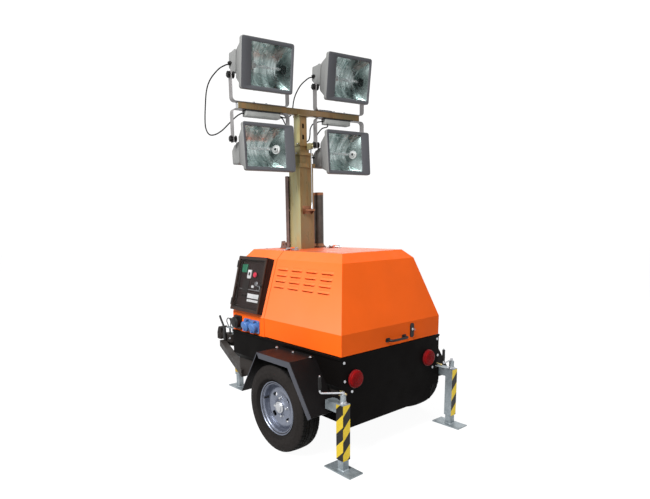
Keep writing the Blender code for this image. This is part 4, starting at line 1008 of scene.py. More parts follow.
def lamp_pane():
    """The glass behind the front frame."""
    shape = Shape()
    outline = rounded(
        (OPENING_LOW_Y - 0.003, LAMP_RISE - OPENING_HALF_Z - 0.003),
        (OPENING_HIGH_Y + 0.003, LAMP_RISE + OPENING_HALF_Z + 0.003), 0.006)
    shape.prism(outline, LAMP_FRONT + 0.004, LAMP_FRONT + 0.007, axis="X")
    return shape


def lamp_trim():
    """Screws on the rear box and clips under the front frame's edge."""
    shape = Shape()
    for y in (-0.16, 0.16):
        for z in (0.0, 0.070):
            shape.turned([(0.006, 0), (0.006, 0.0025), (0.004, 0.004)], aimed((0.1115, y, LAMP_RISE + z), (1, 0, 0)), 12)
    z = LAMP_RISE - LAMP_TALL
    for y in (-0.13, 0.09):
        shape.box((-0.118, y - 0.009, z - 0.0020), (-0.104, y + 0.009, z - 0.0005))
    return shape


# Crossbar

BAR_HALF = 0.533
BAR_SIZE = 0.045
STRAP_INNER = LAMP_WIDE + 0.019
STRAP_THICK = 0.005
STRAP_HALF = 0.025
ELBOW = 0.030


def make_crossbar():
    """The plated bar with four grey brackets, junction boxes, a clamp and lead clips."""
    bar = Shape()
    half = BAR_SIZE / 2
    outline = rounded((-half, -BAR_SIZE), (half, 0), 0.005)
    bar.prism([(u, v) for u, v in outline], -BAR_HALF, BAR_HALF, axis="Y")
    bar.box((-0.045, -0.050, -0.055), (0.045, 0.050, -0.043))
    piece = bar.finish("crossbar_bar", "bronze", "mast_head", 0.0008, matrix=HEAD)
    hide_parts("crossbar")

    straps = Shape()
    washers = Shape()
    for side, pivot_z, _, _ in LAMPS.values():
        centre = side * LAMP_SIDE
        up = 1 if pivot_z > 0 else -1
        base = 0.0 if up > 0 else -BAR_SIZE
        straps.prism(bracket_outline(centre, base, pivot_z + up * 0.025, up), -STRAP_HALF, STRAP_HALF, axis="X")
        for y in (centre - 0.05, centre + 0.05):
            if up < 0:
                continue
            spot = aimed((0, y, base + up * STRAP_THICK), (0, 0, up))
            washers.turned([(0.012, 0), (0.012, 0.002), (0.009, 0.0022), (0.009, 0.009), (0.007, 0.010)], spot, 6)
    straps.finish("lamp_brackets", "grey", "mast_head", 0.0008, matrix=HEAD)
    for y in (-BAR_HALF, BAR_HALF):
        side = 1 if y > 0 else -1
        washers.prism(rounded((-0.019, -BAR_SIZE + 0.004), (0.019, -0.004), 0.004), min(y, y + side * 0.002),
                      max(y, y + side * 0.002), axis="Y")
    washers.finish("bar_bolts", "steel", "mast_head", 0.0005, matrix=HEAD)

    boxes = Shape()
    lids = Shape()
    flanges = Shape()
    for low_y, high_y in ((0.200, 0.480), (-0.440, -0.200)):
        boxes.prism(rounded((-0.030, low_y), (0.030, high_y), 0.006), -0.084, -0.046)
        lids.prism(rounded((-0.030, low_y), (0.030, high_y), 0.006), -0.090, -0.0845)
        for y in (low_y + 0.02, high_y - 0.02):
            for x in (-0.020, 0.020):
                lids.turned([(0.004, 0), (0.004, 0.0012), (0.003, 0.002)], aimed((x, y, -0.090), (0, 0, -1)), 10)
        for y in (low_y, high_y):
            side = 1 if y == high_y else -1
            flanges.box((-0.034, min(y, y + side * 0.024), -0.049), (0.034, max(y, y + side * 0.024), -0.0455))
        flanges.prism(rounded((-0.032, low_y - 0.002), (0.032, high_y + 0.002), 0.006), -0.056, -0.0465)
    boxes.finish("junction_boxes", "box", "mast_head", 0.001, matrix=HEAD)
    lids.finish("junction_lids", "box", "mast_head", 0.0008, matrix=HEAD)
    flanges.finish("box_flanges", "plastic", "mast_head", 0.0006, matrix=HEAD)

    clips = Shape()
    clips.box((-0.014, -0.290, 0.0055), (0.014, -0.150, 0.0095))
    clips.pipe(smooth_route([(-0.004, -0.16, 0.0110), (-0.010, -0.24, 0.0105), (-0.004, -0.28, 0.0110)], 5), 0.004)
    clips.finish("lead_clips", "plastic", "mast_head", 0.001, matrix=HEAD)


def bracket_outline(centre, base, tip, up):
    """Give the bent strap's outline in the plane of the bar."""
    inner = STRAP_INNER
    outer = inner + STRAP_THICK
    lower = base
    upper = base + up * STRAP_THICK
    bend = ELBOW
    right_outer = []
    right_inner = []
    steps = 6
    for step in range(steps + 1):
        angle = math.radians(90 * step / steps)
        right_outer.append((centre + outer - bend + bend * math.sin(angle), lower + up * bend * (1 - math.cos(angle))))
        small = bend - STRAP_THICK
        right_inner.append((centre + inner - small + small * math.sin(angle), upper + up * small * (1 - math.cos(angle))))
    outline = right_outer + [(centre + outer, tip), (centre + inner, tip)] + right_inner[::-1]
    mirrored = [(2 * centre - y, z) for y, z in outline]
    return outline + mirrored[::-1]


# Leads

LEAD_RADIUS = 0.0045
LEADS = {
    "cable_upper_left": (
        (0.075, 0.5403, 0.262), (0.076, 0.558, 0.262), (0.082, 0.580, 0.254), (0.100, 0.620, 0.228),
        (0.122, 0.672, 0.164), (0.130, 0.702, 0.091), (0.130, 0.718, -0.018), (0.130, 0.726, -0.126),
        (0.125, 0.722, -0.180), (0.115, 0.702, -0.214), (0.100, 0.665, -0.212), (0.080, 0.620, -0.184),
        (0.048, 0.575, -0.136), (0.018, 0.532, -0.092), (0.0045, 0.497, -0.071), (0.004, 0.4807, -0.070),
    ),
    "cable_upper_right": (
        (0.075, -0.1597, 0.262), (0.074, -0.138, 0.262), (0.072, -0.120, 0.256), (0.062, -0.093, 0.240),
        (0.054, -0.032, 0.190), (0.052, 0.012, 0.127), (0.050, 0.036, 0.072), (0.048, 0.048, 0.016),
        (0.046, 0.062, -0.032), (0.041, 0.098, -0.057), (0.037, 0.128, -0.064), (0.022, 0.158, -0.065),
        (0.010, 0.183, -0.064), (0.010, 0.1993, -0.064),
    ),
    "cable_lower_left": (
        (0.075, 0.1597, -0.335), (0.077, 0.142, -0.335), (0.082, 0.124, -0.322), (0.084, 0.108, -0.280),
        (0.078, 0.100, -0.220), (0.060, 0.102, -0.160), (0.044, 0.112, -0.122), (0.034, 0.132, -0.098),
        (0.010, 0.158, -0.082), (-0.0095, 0.183, -0.078), (-0.010, 0.1993, -0.078),
    ),
    "cable_lower_right": (
        (0.075, -0.1597, -0.335), (0.077, -0.142, -0.335), (0.076, -0.130, -0.318), (0.066, -0.124, -0.270),
        (0.036, -0.133, -0.215), (0.012, -0.152, -0.164), (0.0, -0.185, -0.124), (-0.003, -0.222, -0.112),
        (-0.004, -0.236, -0.104), (-0.004, -0.236, -0.0908),
    ),
    "cable_mast": (
        (0.004, -0.1993, -0.070), (0.0045, -0.186, -0.070), (0.025, -0.160, -0.074), (0.040, -0.126, -0.090),
        (0.036, -0.100, -0.128), (0.026, -0.090, -0.172), (0.019, -0.078, -0.206), (0.0155, -0.062, -0.224),
        (0.0127, -0.0458, -0.228), (0.010, -0.0258, -0.228),
    ),
}
LEAD_LAMPS = {
    "cable_upper_left": "lamp_upper_left", "cable_upper_right": "lamp_upper_right",
    "cable_lower_left": "lamp_lower_left", "cable_lower_right": "lamp_lower_right",
}


def make_leads():
    """The leads from the lamps to the junction boxes."""
    for name, route in LEADS.items():
        points = [HEAD @ point for point in smooth_route(route, 5)]
        shape = Shape()
        shape.pipe(points, LEAD_RADIUS, 14)
        lamp = LEAD_LAMPS.get(name)
        piece = shape.finish(name + "_sheath", "cable", None if lamp else "mast_head")
        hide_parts(name)
        if lamp:
            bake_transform(piece)


# Mast

MAST_X = 0.536
COLLARS = ((0.078, 1.925, "trailer"), (0.066, 2.015, "mast_section_2"), (0.055, 2.085, "mast_section_3"))
TRAILER = Matrix.Translation(place(0, 0, 0))


def square(centre, half, z, radius=0.006):
    """Give a rounded square ring round a point of the mast."""
    return spread_ring(rounded((centre[0] - half, centre[1] - half), (centre[0] + half, centre[1] + half), radius), z, "Z")


def make_mast():
    """The pulley head, rope, rope anchor and collar bolts on the mast."""
    face = MAST_X - 0.066
    pulley = Shape()
    for half, low, body in COLLARS:
        steel = Shape()
        for y in (-half, half):
            for x in (-0.030, 0.030):
                bolt = aimed((MAST_X + x, y, low + 0.015), (0, 1 if y > 0 else -1, 0))
                steel.turned([(0.0065, 0), (0.0065, 0.004), (0.005, 0.005)], bolt, 6)
        steel.finish("collar_bolts_" + body, "steel", body, 0.0004, matrix=TRAILER)

    rope_x = face - 0.024
    rope_y = -0.030
    rope = Shape()
    rope.pipe([(rope_x, rope_y, 2.078), (rope_x, rope_y, 1.620)], 0.0035, 10)
    rope.turned([(0.008, 0.0), (0.008, 0.012), (0.006, 0.016), (0.006, 0.044), (0.004, 0.050)],
                Matrix.Translation((rope_x, rope_y, 1.6145)), 14)
    rope.finish("lift_rope", "steel", "trailer", matrix=TRAILER)

    anchor = Shape()
    anchor.box((face - 0.004, -0.050, 1.580), (face - 0.0003, 0.045, 1.640))
    anchor.box((face - 0.040, -0.046, 1.600), (face - 0.003, 0.040, 1.614))
    for y in (-0.044, 0.036):
        anchor.prism([(face - 0.038, 1.601), (face - 0.003, 1.601), (face - 0.003, 1.575)], y - 0.002, y + 0.002, axis="Y")
    anchor.finish("rope_anchor", "copper", "trailer", 0.001, matrix=TRAILER)

    pulley.turned([
        (0.005, -0.008), (0.020, -0.008), (0.020, -0.006), (0.015, -0.003), (0.015, 0.003), (0.020, 0.006),
        (0.020, 0.008), (0.005, 0.008),
    ], aimed((rope_x + 0.004, rope_y + 0.004, 2.078), (0, 1, 0)), 28)
    for y in (rope_y - 0.007, rope_y + 0.013):
        pulley.prism(rounded((rope_x - 0.012, 2.058), (face + 0.0105, 2.104), 0.006), y, y + 0.002, axis="Y")
    pulley.rod((rope_x + 0.004, rope_y - 0.009, 2.078), (rope_x + 0.004, rope_y + 0.017, 2.078), 0.004, 12)
    pulley.finish("rope_pulley", "bronze", "mast_section_3", 0.0006, matrix=TRAILER)

    # Painted shade: thin near black plates where the head slots open.
    slot = Shape()
    for z in (2.135, 2.215):
        slot.prism(rounded((-0.006, z), (0.010, z + 0.034), 0.005), MAST_X - 0.0358, MAST_X - 0.0351, axis="X")
    slot.finish("head_slots", "hole", "mast_head", matrix=TRAILER)

    channel = Shape()
    channel.prism([
        (0.6025, 0.050), (0.6400, 0.050), (0.6400, 0.078), (0.6025, 0.078), (0.6025, 0.075), (0.6370, 0.075),
        (0.6370, 0.053), (0.6025, 0.053),
    ], TOP_Z + 0.0005, 1.870, axis="Z")
    for z in (1.345, 1.600, 1.835):
        channel.box((0.6025, 0.052, z), (0.6100, 0.076, z + 0.020))
    channel.finish("cable_channel", "channel", "trailer", 0.0008, matrix=TRAILER)
    strip = Shape()
    strip.box((0.4720, -0.0735, TOP_Z + 0.0005), (0.4880, -0.0665, 1.730))
    for z in (1.400, 1.560, 1.700):
        strip.turned([(0.006, 0), (0.006, 0.002), (0.004, 0.0035)], aimed((0.480, -0.0735, z), (0, -1, 0)), 10)
    strip.finish("edge_strip", "copper", "trailer", 0.0008, matrix=TRAILER)

    stack = Shape()
    stack.turned([(0.0430, 1.728), (0.0432, 1.729), (0.0432, 1.7492), (0.0425, 1.7499), (0.0392, 1.7499), (0.0386, 1.7490),
                  (0.0386, 1.700)],
                 Matrix.Translation((0.585, -0.215, 0)), 40, caps=(False, False))
    stack.turned([(0.0450, 1.3185), (0.0560, 1.3185), (0.0545, 1.3225), (0.0460, 1.3300), (0.0430, 1.3420)],
                 Matrix.Translation((0.585, -0.215, 0)), 40, caps=(False, False))
    stack.finish("stack_rim", "copper", "trailer", matrix=TRAILER)


# Canopy and body

LOUVRE_LEVELS = (1.1840, 1.1435, 1.1030, 1.0625)
LOUVRE_FRONT_X = 0.379
LOUVRE_REAR_X = -0.257
LOUVRE_COLUMNS = 4
BAND_HALF_Y = 0.492
BAND_Z = 0.830
SLOPE_Z = 1.253
SLOPE_HALF_Y = 0.355
TOP_Z = 1.312
REAR_X = -0.421
HINGE_Y = 0.215
HINGE_KNUCKLE = 0.0184


def on_slope(z, outward, side=1):
    """Give (y, z) on a sloped side wall, moved outward along its normal."""
    run = BAND_HALF_Y - SLOPE_HALF_Y
    rise = SLOPE_Z - BAND_Z
    length = math.hypot(run, rise)
    y = BAND_HALF_Y - run * (z - BAND_Z) / rise + outward * rise / length
    return (side * y, z + outward * run / length)


def slope_frame(x, z, side=1):
    """Give a frame on a side wall: local x to the rear, y up the wall, z outward."""
    low = Vector((0, *on_slope(z, 0, side)))
    up = (Vector((0, *on_slope(z + 0.1, 0, side))) - low).normalized()
    rear = Vector((-side, 0, 0))
    turn = Matrix((rear, up, rear.cross(up))).transposed().to_4x4()
    return TRAILER @ Matrix.Translation((x, low.y, low.z)) @ turn


def make_louvres():
    """Pressed louvres on both walls of the hood, open at the lower edge, with painted shade under each lid."""
    pitch = (LOUVRE_FRONT_X - LOUVRE_REAR_X) / LOUVRE_COLUMNS
    half = 0.060
    for side in (1, -1):
        lids = Shape()
        dark = Shape()
        for z in LOUVRE_LEVELS:
            for column in range(LOUVRE_COLUMNS):
                x = LOUVRE_FRONT_X - pitch * (column + 0.5)
                spot = TRAILER.inverted() @ slope_frame(x, z, side)
                rings = []
                for step in range(7):
                    angle = math.pi / 2 * step / 6
                    rings.append((0.020 * math.cos(angle) - 0.004, 0.013 * math.sin(angle)))
                count = 14
                rows = []
                for height, reach in rings:
                    row = []
                    for step in range(count + 1):
                        along = -half + 2 * half * step / count
                        ease = min(1, (1 - abs(along) / half) * 5) ** 0.5
                        row.append((along, height, reach * ease + 0.0004))
                    rows.append(row)
                lids.loft(rows, spot, caps=(False, False), closed=False)
                # Painted shade: a thin orange brown sheet under each lid stands for the shade inside the opening.
                dark.prism(rounded((-half * 0.93, -0.008), (half * 0.93, 0.002), 0.003), 0.0002, 0.0008, spot)
        word = "left" if side > 0 else "right"
        lids.finish("louvre_hoods_" + word, "orange", "hood", matrix=TRAILER, smooth=60)
        dark.finish("louvre_slot_shade_" + word, "slot", "hood", matrix=TRAILER)


def make_hood_trim():
    """The handle, the oval lock plate with its key, and hinge leaves on the top."""
    face = REAR_X
    handle = Shape()
    low_y, high_y, z, reach = -0.110, 0.080, 0.735, 0.042
    route = [
        (face + 0.002, low_y + 0.012, z), (face - 0.022, low_y + 0.012, z), (face - reach + 0.006, low_y + 0.020, z),
        (face - reach, low_y + 0.040, z), (face - reach, high_y - 0.040, z), (face - reach + 0.006, high_y - 0.020, z),
        (face - 0.022, high_y - 0.012, z), (face + 0.002, high_y - 0.012, z),
    ]
    handle.pipe(smooth_route(route, 6), 0.0085, 14)
    for y in (low_y + 0.012, high_y - 0.012):
        handle.prism(rounded((y - 0.020, z - 0.014), (y + 0.020, z + 0.014), 0.008), face - 0.005, face - 0.0003, axis="X")
    piece = handle.finish("hood_grip", "plastic", "hood", 0.0008, matrix=TRAILER)
    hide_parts("hood_handle")

    latch = Shape()
    y = -0.181
    latch.prism(rounded((y - 0.018, 0.717), (y + 0.018, 0.817), 0.017, 6), face - 0.008, face - 0.0003, axis="X")
    piece = latch.finish("lock_plate", "plastic", "hood", 0.0012, matrix=TRAILER)
    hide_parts("hood_latch")
    key = Shape()
    key.turned([(0.009, 0), (0.009, 0.003), (0.006, 0.004), (0.006, 0.007)], aimed((face - 0.008, y, 0.775), (-1, 0, 0)), 20)
    key.box((face - 0.030, y - 0.001, 0.768), (face - 0.014, y + 0.001, 0.782))
    key.finish("lock_key", "steel", "hood", 0.0004, matrix=TRAILER)

    leaves = Shape()
    split = 0.395
    for y in (-HINGE_Y, HINGE_Y):
        leaves.prism([
            (split - 0.0612, TOP_Z + 0.0003), (split - 0.0612, TOP_Z + 0.0060), (split - 0.0108, TOP_Z + 0.0143),
            (split - 0.0108, TOP_Z + 0.0003),
        ], y - HINGE_KNUCKLE, y + HINGE_KNUCKLE, axis="Y")
        for dy in (-0.009, 0.009):
            leaves.turned([(0.0055, 0), (0.0055, 0.0015), (0.004, 0.0025)],
                          aimed((split - 0.046, y + dy, TOP_Z + 0.0084), (-0.16, 0, 1)), 10)
    leaves.finish("hinge_leaves", "steel", "hood", matrix=TRAILER)

    screws = Shape()
    for x, y in ((0.448, -0.110), (0.640, -0.110), (0.640, -0.320), (0.530, -0.320), (0.740, 0.200), (0.740, -0.200)):
        screws.turned([(0.009, 0), (0.009, 0.002), (0.006, 0.0035)], aimed((x, y, TOP_Z), (0, 0, 1)), 12)
    screws.finish("roof_screws", "copper", "trailer", matrix=TRAILER)

    winch = Shape()
    x, y = 0.685, 0.045
    winch.prism(rounded((x - 0.045, y - 0.035), (x + 0.045, y + 0.035), 0.006), TOP_Z + 0.0003, TOP_Z + 0.005)
    for side in (-1, 1):
        outline = [(x - 0.036, TOP_Z + 0.004), (x + 0.036, TOP_Z + 0.004), (x + 0.024, TOP_Z + 0.056), (x - 0.020, TOP_Z + 0.060)]
        winch.prism(outline, y + side * 0.028 - 0.0025, y + side * 0.028 + 0.0025, axis="Y")
    winch.finish("winch_frame", "channel", "trailer", 0.0008, matrix=TRAILER)
    drum = Shape()
    drum.turned([
        (0.0, -0.036), (0.007, -0.036), (0.007, -0.026), (0.024, -0.026), (0.024, -0.023), (0.014, -0.022),
        (0.0160, -0.014), (0.0145, -0.010), (0.0162, -0.004), (0.0148, 0.001), (0.0162, 0.007), (0.0146, 0.012),
        (0.0160, 0.018), (0.014, 0.022), (0.024, 0.023), (0.024, 0.026), (0.007, 0.026), (0.007, 0.036), (0.0, 0.036),
    ], aimed((x, y, TOP_Z + 0.034), (0, 1, 0)), 24)
    drum.finish("winch_drum", "copper", "trailer", matrix=TRAILER)


REAR_SCREWS = ((0.470, 0.653), (0.465, 0.533), (0.401, 0.455), (-0.478, 0.656), (-0.491, 0.531), (-0.433, 0.450))


def make_rear_trim():
    """Screws on the rear panel and the round red lights with their rims."""
    screws = Shape()
    for y, z in REAR_SCREWS:
        screws.turned([(0.010, 0), (0.010, 0.002), (0.007, 0.0045)], aimed((REAR_X, y, z), (-1, 0, 0)), 12)
    screws.finish("rear_screws", "steel", "trailer", matrix=TRAILER)
    for word, side in (("left", 1), ("right", -1)):
        spot = aimed((REAR_X - 0.0003, side * 0.374, 0.534), (-1, 0, 0))
        base = Shape()
        base.turned([(0.060, 0), (0.060, 0.008), (0.057, 0.010), (0.055, 0.010), (0.055, 0.0)], spot, 48, (False, False))
        base.finish("light_base_" + word, "redrim", "trailer", matrix=TRAILER)
        lens = Shape()
        lens.turned([
            (0.0555, 0.004), (0.0555, 0.018), (0.052, 0.023), (0.040, 0.026), (0.038, 0.0245), (0.022, 0.0265),
            (0.020, 0.025), (0.0, 0.027),
        ], spot, 48)
        piece = lens.finish("light_lens_" + word, "red", "trailer", matrix=TRAILER, smooth=25)
        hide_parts("tail_light_" + word)


# Control panel

PANEL_REAR_X = 0.428
PANEL_FRONT_X = 0.800
PANEL_FOOT = Vector((0, *on_slope(0.846, 0.030)))
PANEL_HEAD = Vector((0, *on_slope(1.246, 0.052)))
PANEL_TALL = (PANEL_HEAD - PANEL_FOOT).length
PANEL_HALF = (PANEL_FRONT_X - PANEL_REAR_X) / 2


def panel_frame():
    """Give the frame of the box's face: local x to the rear, y up, z outward, from the middle of its foot."""
    up = (PANEL_HEAD - PANEL_FOOT).normalized()
    rear = Vector((-1, 0, 0))
    turn = Matrix((rear, up, rear.cross(up))).transposed().to_4x4()
    middle = (PANEL_FRONT_X + PANEL_REAR_X) / 2
    return TRAILER @ Matrix.Translation((middle, PANEL_FOOT.y, PANEL_FOOT.z)) @ turn


def make_panel():
    """Instruments behind the door, its seal, latch and hinge marks."""
    at = panel_frame()
    plate = Shape()
    plate.prism(rounded((-0.156, 0.028), (0.156, PANEL_TALL - 0.028), 0.004), -0.0175, -0.0155)
    plate.finish("instrument_plate", "plate", "trailer", 0.0005, matrix=at)
    face = -0.0155
    green = Shape()
    green.prism(rounded((-0.150, 0.300), (-0.082, 0.362), 0.004), face, face + 0.008)
    green.prism(rounded((-0.140, 0.318), (-0.110, 0.350), 0.002), face + 0.008, face + 0.0095)
    green.finish("start_module", "green", "trailer", 0.001, matrix=at)
    white = Shape()
    white.prism(rounded((-0.066, 0.256), (-0.020, 0.322), 0.004), face, face + 0.007)
    for index in range(6):
        x = -0.016 + index * 0.026
        white.prism(rounded((x, 0.108), (x + 0.023, 0.142), 0.002), face, face + 0.008)
        white.prism(rounded((x, 0.080), (x + 0.021, 0.098), 0.002), face, face + 0.006)
        white.box((x + 0.007, 0.118, face + 0.008), (x + 0.016, 0.132, face + 0.0125))
    white.prism(rounded((0.012, 0.188), (0.040, 0.206), 0.003), face, face + 0.006)
    white.finish("meter_and_breakers", "white", "trailer", 0.0006, matrix=at)
    dark = Shape()
    dark.prism(rounded((-0.052, 0.280), (-0.030, 0.302), 0.002), face + 0.007, face + 0.0075)
    dark.prism(rounded((-0.110, 0.150), (-0.030, 0.240), 0.004), face, face + 0.004)
    dark.turned([(0.016, 0), (0.016, 0.004), (0.012, 0.006), (0.011, 0.014), (0.010, 0.015)],
                Matrix.Translation((0.098, 0.190, face)), 24)
    for index in range(3):
        dark.turned([(0.009, 0), (0.009, 0.004), (0.006, 0.010)],
                    Matrix.Translation((-0.095 + 0.025 * index, 0.120, face)), 16)
    dark.finish("meter_glass_and_switches", "plastic", "trailer", 0.0006, matrix=at)
    knob = Shape()
    knob.turned([(0.006, 0), (0.006, 0.006), (0.020, 0.007), (0.021, 0.011), (0.017, 0.016), (0.0, 0.017)],
                Matrix.Translation((0.039, 0.288, face)), 28)
    knob.finish("stop_knob", "redknob", "trailer", matrix=at)
    steel = Shape()
    steel.turned([(0.017, 0), (0.017, 0.003), (0.012, 0.004), (0.012, 0.008)], Matrix.Translation((0.066, 0.222, face)), 20)
    steel.turned([(0.021, 0), (0.021, 0.002), (0.017, 0.003)], Matrix.Translation((0.098, 0.190, face)), 24)
    steel.box((0.0645, 0.212, face + 0.008), (0.0675, 0.232, face + 0.018))
    for x in (-0.148, 0.148):
        for y in (0.040, PANEL_TALL - 0.040):
            steel.turned([(0.004, 0), (0.003, 0.002)], Matrix.Translation((x, y, face)), 10)
    steel.box((-0.150, 0.170, face), (0.150, 0.174, face + 0.002))
    steel.finish("key_switch_and_screws", "steel", "trailer", 0.0004, matrix=at)

    seal = Shape()
    line = 0.018
    outer = rounded((-PANEL_HALF + line, 0.020), (PANEL_HALF - line, PANEL_TALL - 0.020), 0.010)
    inner = rounded((-PANEL_HALF + line + 0.004, 0.024), (PANEL_HALF - line - 0.004, PANEL_TALL - 0.024), 0.008)
    top = 0.0157
    seal.loft([
        spread_ring(outer, top - 0.0006, "Z"), spread_ring(outer, top, "Z"),
        spread_ring(inner, top, "Z"), spread_ring(inner, top - 0.0006, "Z"),
    ], caps=(False, False))
    seal.finish("door_seal", "frame", "panel_door", matrix=at)
    catch = Shape()
    for share in (0.16, 0.84):
        y = PANEL_TALL * share
        catch.prism(rounded((-PANEL_HALF + 0.001, y - 0.022), (-PANEL_HALF + 0.012, y + 0.022), 0.003), 0.0151, 0.0185)
    catch.turned([(0.013, 0), (0.013, 0.004), (0.010, 0.006), (0.010, 0.012), (0.008, 0.013)],
                 Matrix.Translation((PANEL_HALF - 0.011, PANEL_TALL * 0.5, 0.0151)), 20)
    catch.finish("door_catch", "plastic", "panel_door", 0.0006, matrix=at)


def make_sockets():
    """Two blue sockets with sprung lids, and the black inlet with its lever."""
    face = BAND_HALF_Y + 0.0003
    blue = Shape()
    for x in (0.500, 0.600):
        blue.prism(rounded((x - 0.046, 0.705), (x + 0.046, 0.800), 0.008), face, face + 0.010, axis="Y")
        spot = aimed((x, face + 0.010, 0.752), (0, 1, -0.28))
        blue.turned([(0.036, -0.004), (0.036, 0.012), (0.038, 0.013), (0.038, 0.018), (0.036, 0.020)], spot, 36)
        blue.turned([(0.040, 0.021), (0.041, 0.024), (0.041, 0.029), (0.037, 0.036), (0.024, 0.041), (0.0, 0.042)], spot, 36)
        blue.box((x - 0.014, face + 0.010, 0.785), (x + 0.014, face + 0.036, 0.799))
        blue.box((x - 0.009, face + 0.040, 0.712), (x + 0.009, face + 0.052, 0.722))
    piece = blue.finish("socket_lids", "blue", "trailer", 0.0012, matrix=TRAILER)
    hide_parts("socket_pair")
    pins = Shape()
    for x in (0.500, 0.600):
        pins.rod((x - 0.018, face + 0.032, 0.795), (x + 0.018, face + 0.032, 0.795), 0.0025, 10)
        for dx in (-0.038, 0.038):
            for z in (0.713, 0.792):
                pins.turned([(0.004, 0), (0.004, 0.0015), (0.002, 0.0025)], aimed((x + dx, face + 0.010, z), (0, 1, 0)), 10)
    pins.finish("socket_pins", "steel", "trailer", matrix=TRAILER)

    inlet = Shape()
    x, z = 0.740, 0.757
    inlet.prism(rounded((x - 0.050, 0.705), (x + 0.050, 0.810), 0.010), face, face + 0.012, axis="Y")
    spot = aimed((x, face + 0.010, z), (0, 1, 0))
    inlet.turned([
        (0.044, 0), (0.044, 0.016), (0.046, 0.018), (0.046, 0.030), (0.042, 0.034), (0.036, 0.036), (0.036, 0.040),
        (0.030, 0.044), (0.0, 0.045),
    ], spot, 40)
    inlet.prism([(x - 0.010, z - 0.006), (x + 0.055, z + 0.014), (x + 0.062, z + 0.028), (x + 0.050, z + 0.030),
                 (x - 0.010, z + 0.012)], face + 0.036, face + 0.050, axis="Y")
    piece = inlet.finish("inlet_switch", "plastic", "trailer", 0.0012, matrix=TRAILER)
    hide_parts("power_inlet")


# Wheels

def carve(mesh, cutter):
    """Cut one mesh out of another."""
    holder = bpy.data.objects.new("carved", mesh)
    knife = bpy.data.objects.new("knife", cutter)
    for thing in (holder, knife):
        bpy.context.collection.objects.link(thing)
    modifier = holder.modifiers.new("cut", "BOOLEAN")
    modifier.operation = "DIFFERENCE"
    modifier.solver = "EXACT"
    modifier.object = knife
    bpy.context.view_layer.update()
    result = bpy.data.meshes.new_from_object(holder.evaluated_get(bpy.context.evaluated_depsgraph_get()))
    bpy.data.objects.remove(holder)
    bpy.data.objects.remove(knife)
    return result


def tyre_mesh():
    """A tyre with circumferential grooves, shoulder slots and sidewall rings."""
    half = [
        (0.1655, 0.055), (0.1700, 0.0585), (0.1860, 0.0600), (0.1980, 0.0720), (0.2050, 0.0785), (0.2080, 0.0785),
        (0.2100, 0.0800), (0.2350, 0.0832), (0.2500, 0.0830), (0.2520, 0.0820), (0.2620, 0.0805), (0.2780, 0.0750),
        (0.2870, 0.0700), (0.2925, 0.0660), (0.2945, 0.0600), (0.2960, 0.0500), (0.2960, 0.0440), (0.2890, 0.0430),
        (0.2890, 0.0370), (0.2968, 0.0360), (0.2975, 0.0230), (0.2900, 0.0220), (0.2900, 0.0160), (0.2978, 0.0150),
        (0.2980, 0.0040),
    ]
    profile = half + [(radius, -y) for radius, y in reversed(half)]
    sides = 384
    shape = Shape()
    rings = []
    for step in range(sides + 1):
        angle = math.tau * step / sides
        ring = []
        for radius, y in profile:
            slot = step % 8 == 0 and radius > 0.288 and abs(y) > 0.048
            sipe = step % 8 == 4 and radius > 0.295 and 0.015 < abs(y) < 0.045
            reach = radius - (0.0040 if slot else 0.0025 if sipe else 0.0)
            ring.append((reach * math.cos(angle), y, reach * math.sin(angle)))
        rings.append(ring)
    shape.loft(rings, caps=(False, False))
    bmesh.ops.remove_doubles(shape.mesh, verts=shape.mesh.verts, dist=0.00001)
    bmesh.ops.recalc_face_normals(shape.mesh, faces=shape.mesh.faces)
    mesh = bpy.data.meshes.new("tyre")
    shape.mesh.to_mesh(mesh)
    shape.mesh.free()
    return mesh


def rim_mesh():
    """A pressed steel wheel: double flange, dished disc with four hand holes, and a hub cap."""
    profile = [
        (0.040, -0.020), (0.042, 0.030), (0.050, 0.024), (0.060, 0.017), (0.078, 0.015), (0.096, 0.018),
        (0.112, 0.026), (0.128, 0.026), (0.142, 0.018), (0.150, 0.012), (0.154, 0.012), (0.1575, 0.020),
        (0.1590, 0.034), (0.1605, 0.046), (0.1650, 0.052), (0.1700, 0.0535), (0.1730, 0.056), (0.1745, 0.0605),
        (0.1790, 0.0645), (0.1825, 0.0635), (0.1825, 0.0600), (0.1780, 0.0585), (0.1648, 0.0570),
        (0.1640, 0.0300), (0.1600, 0.0060), (0.1640, -0.0300), (0.1648, -0.0570), (0.1820, -0.0600),
        (0.1800, -0.0640), (0.1700, -0.0560), (0.1600, -0.0500), (0.1560, -0.0300), (0.1540, 0.004),
        (0.150, 0.006), (0.142, 0.012), (0.128, 0.020), (0.112, 0.020), (0.096, 0.012), (0.078, 0.009),
        (0.060, 0.011), (0.048, 0.016),
    ]
    shape = Shape()
    sides = 96
    rings = []
    for step in range(sides + 1):
        angle = math.tau * step / sides
        rings.append([(radius * math.cos(angle), y, radius * math.sin(angle)) for radius, y in profile])
    shape.loft(rings, caps=(False, False))
    bmesh.ops.remove_doubles(shape.mesh, verts=shape.mesh.verts, dist=0.00001)
    bmesh.ops.recalc_face_normals(shape.mesh, faces=shape.mesh.faces)
    mesh = bpy.data.meshes.new("rim")
    shape.mesh.to_mesh(mesh)
    shape.mesh.free()
    cutter = Shape()
    for index in range(4):
        turn = Matrix.Rotation(math.radians(90 * index + 40), 4, "Y")
        outline = rounded((-0.020, 0.087), (0.020, 0.111), 0.011, 6)
        cutter.prism(outline, -0.01, 0.05, turn, axis="Y")
    bmesh.ops.recalc_face_normals(cutter.mesh, faces=cutter.mesh.faces)
    knife = bpy.data.meshes.new("hand_holes")
    cutter.mesh.to_mesh(knife)
    cutter.mesh.free()
    return carve(mesh, knife)


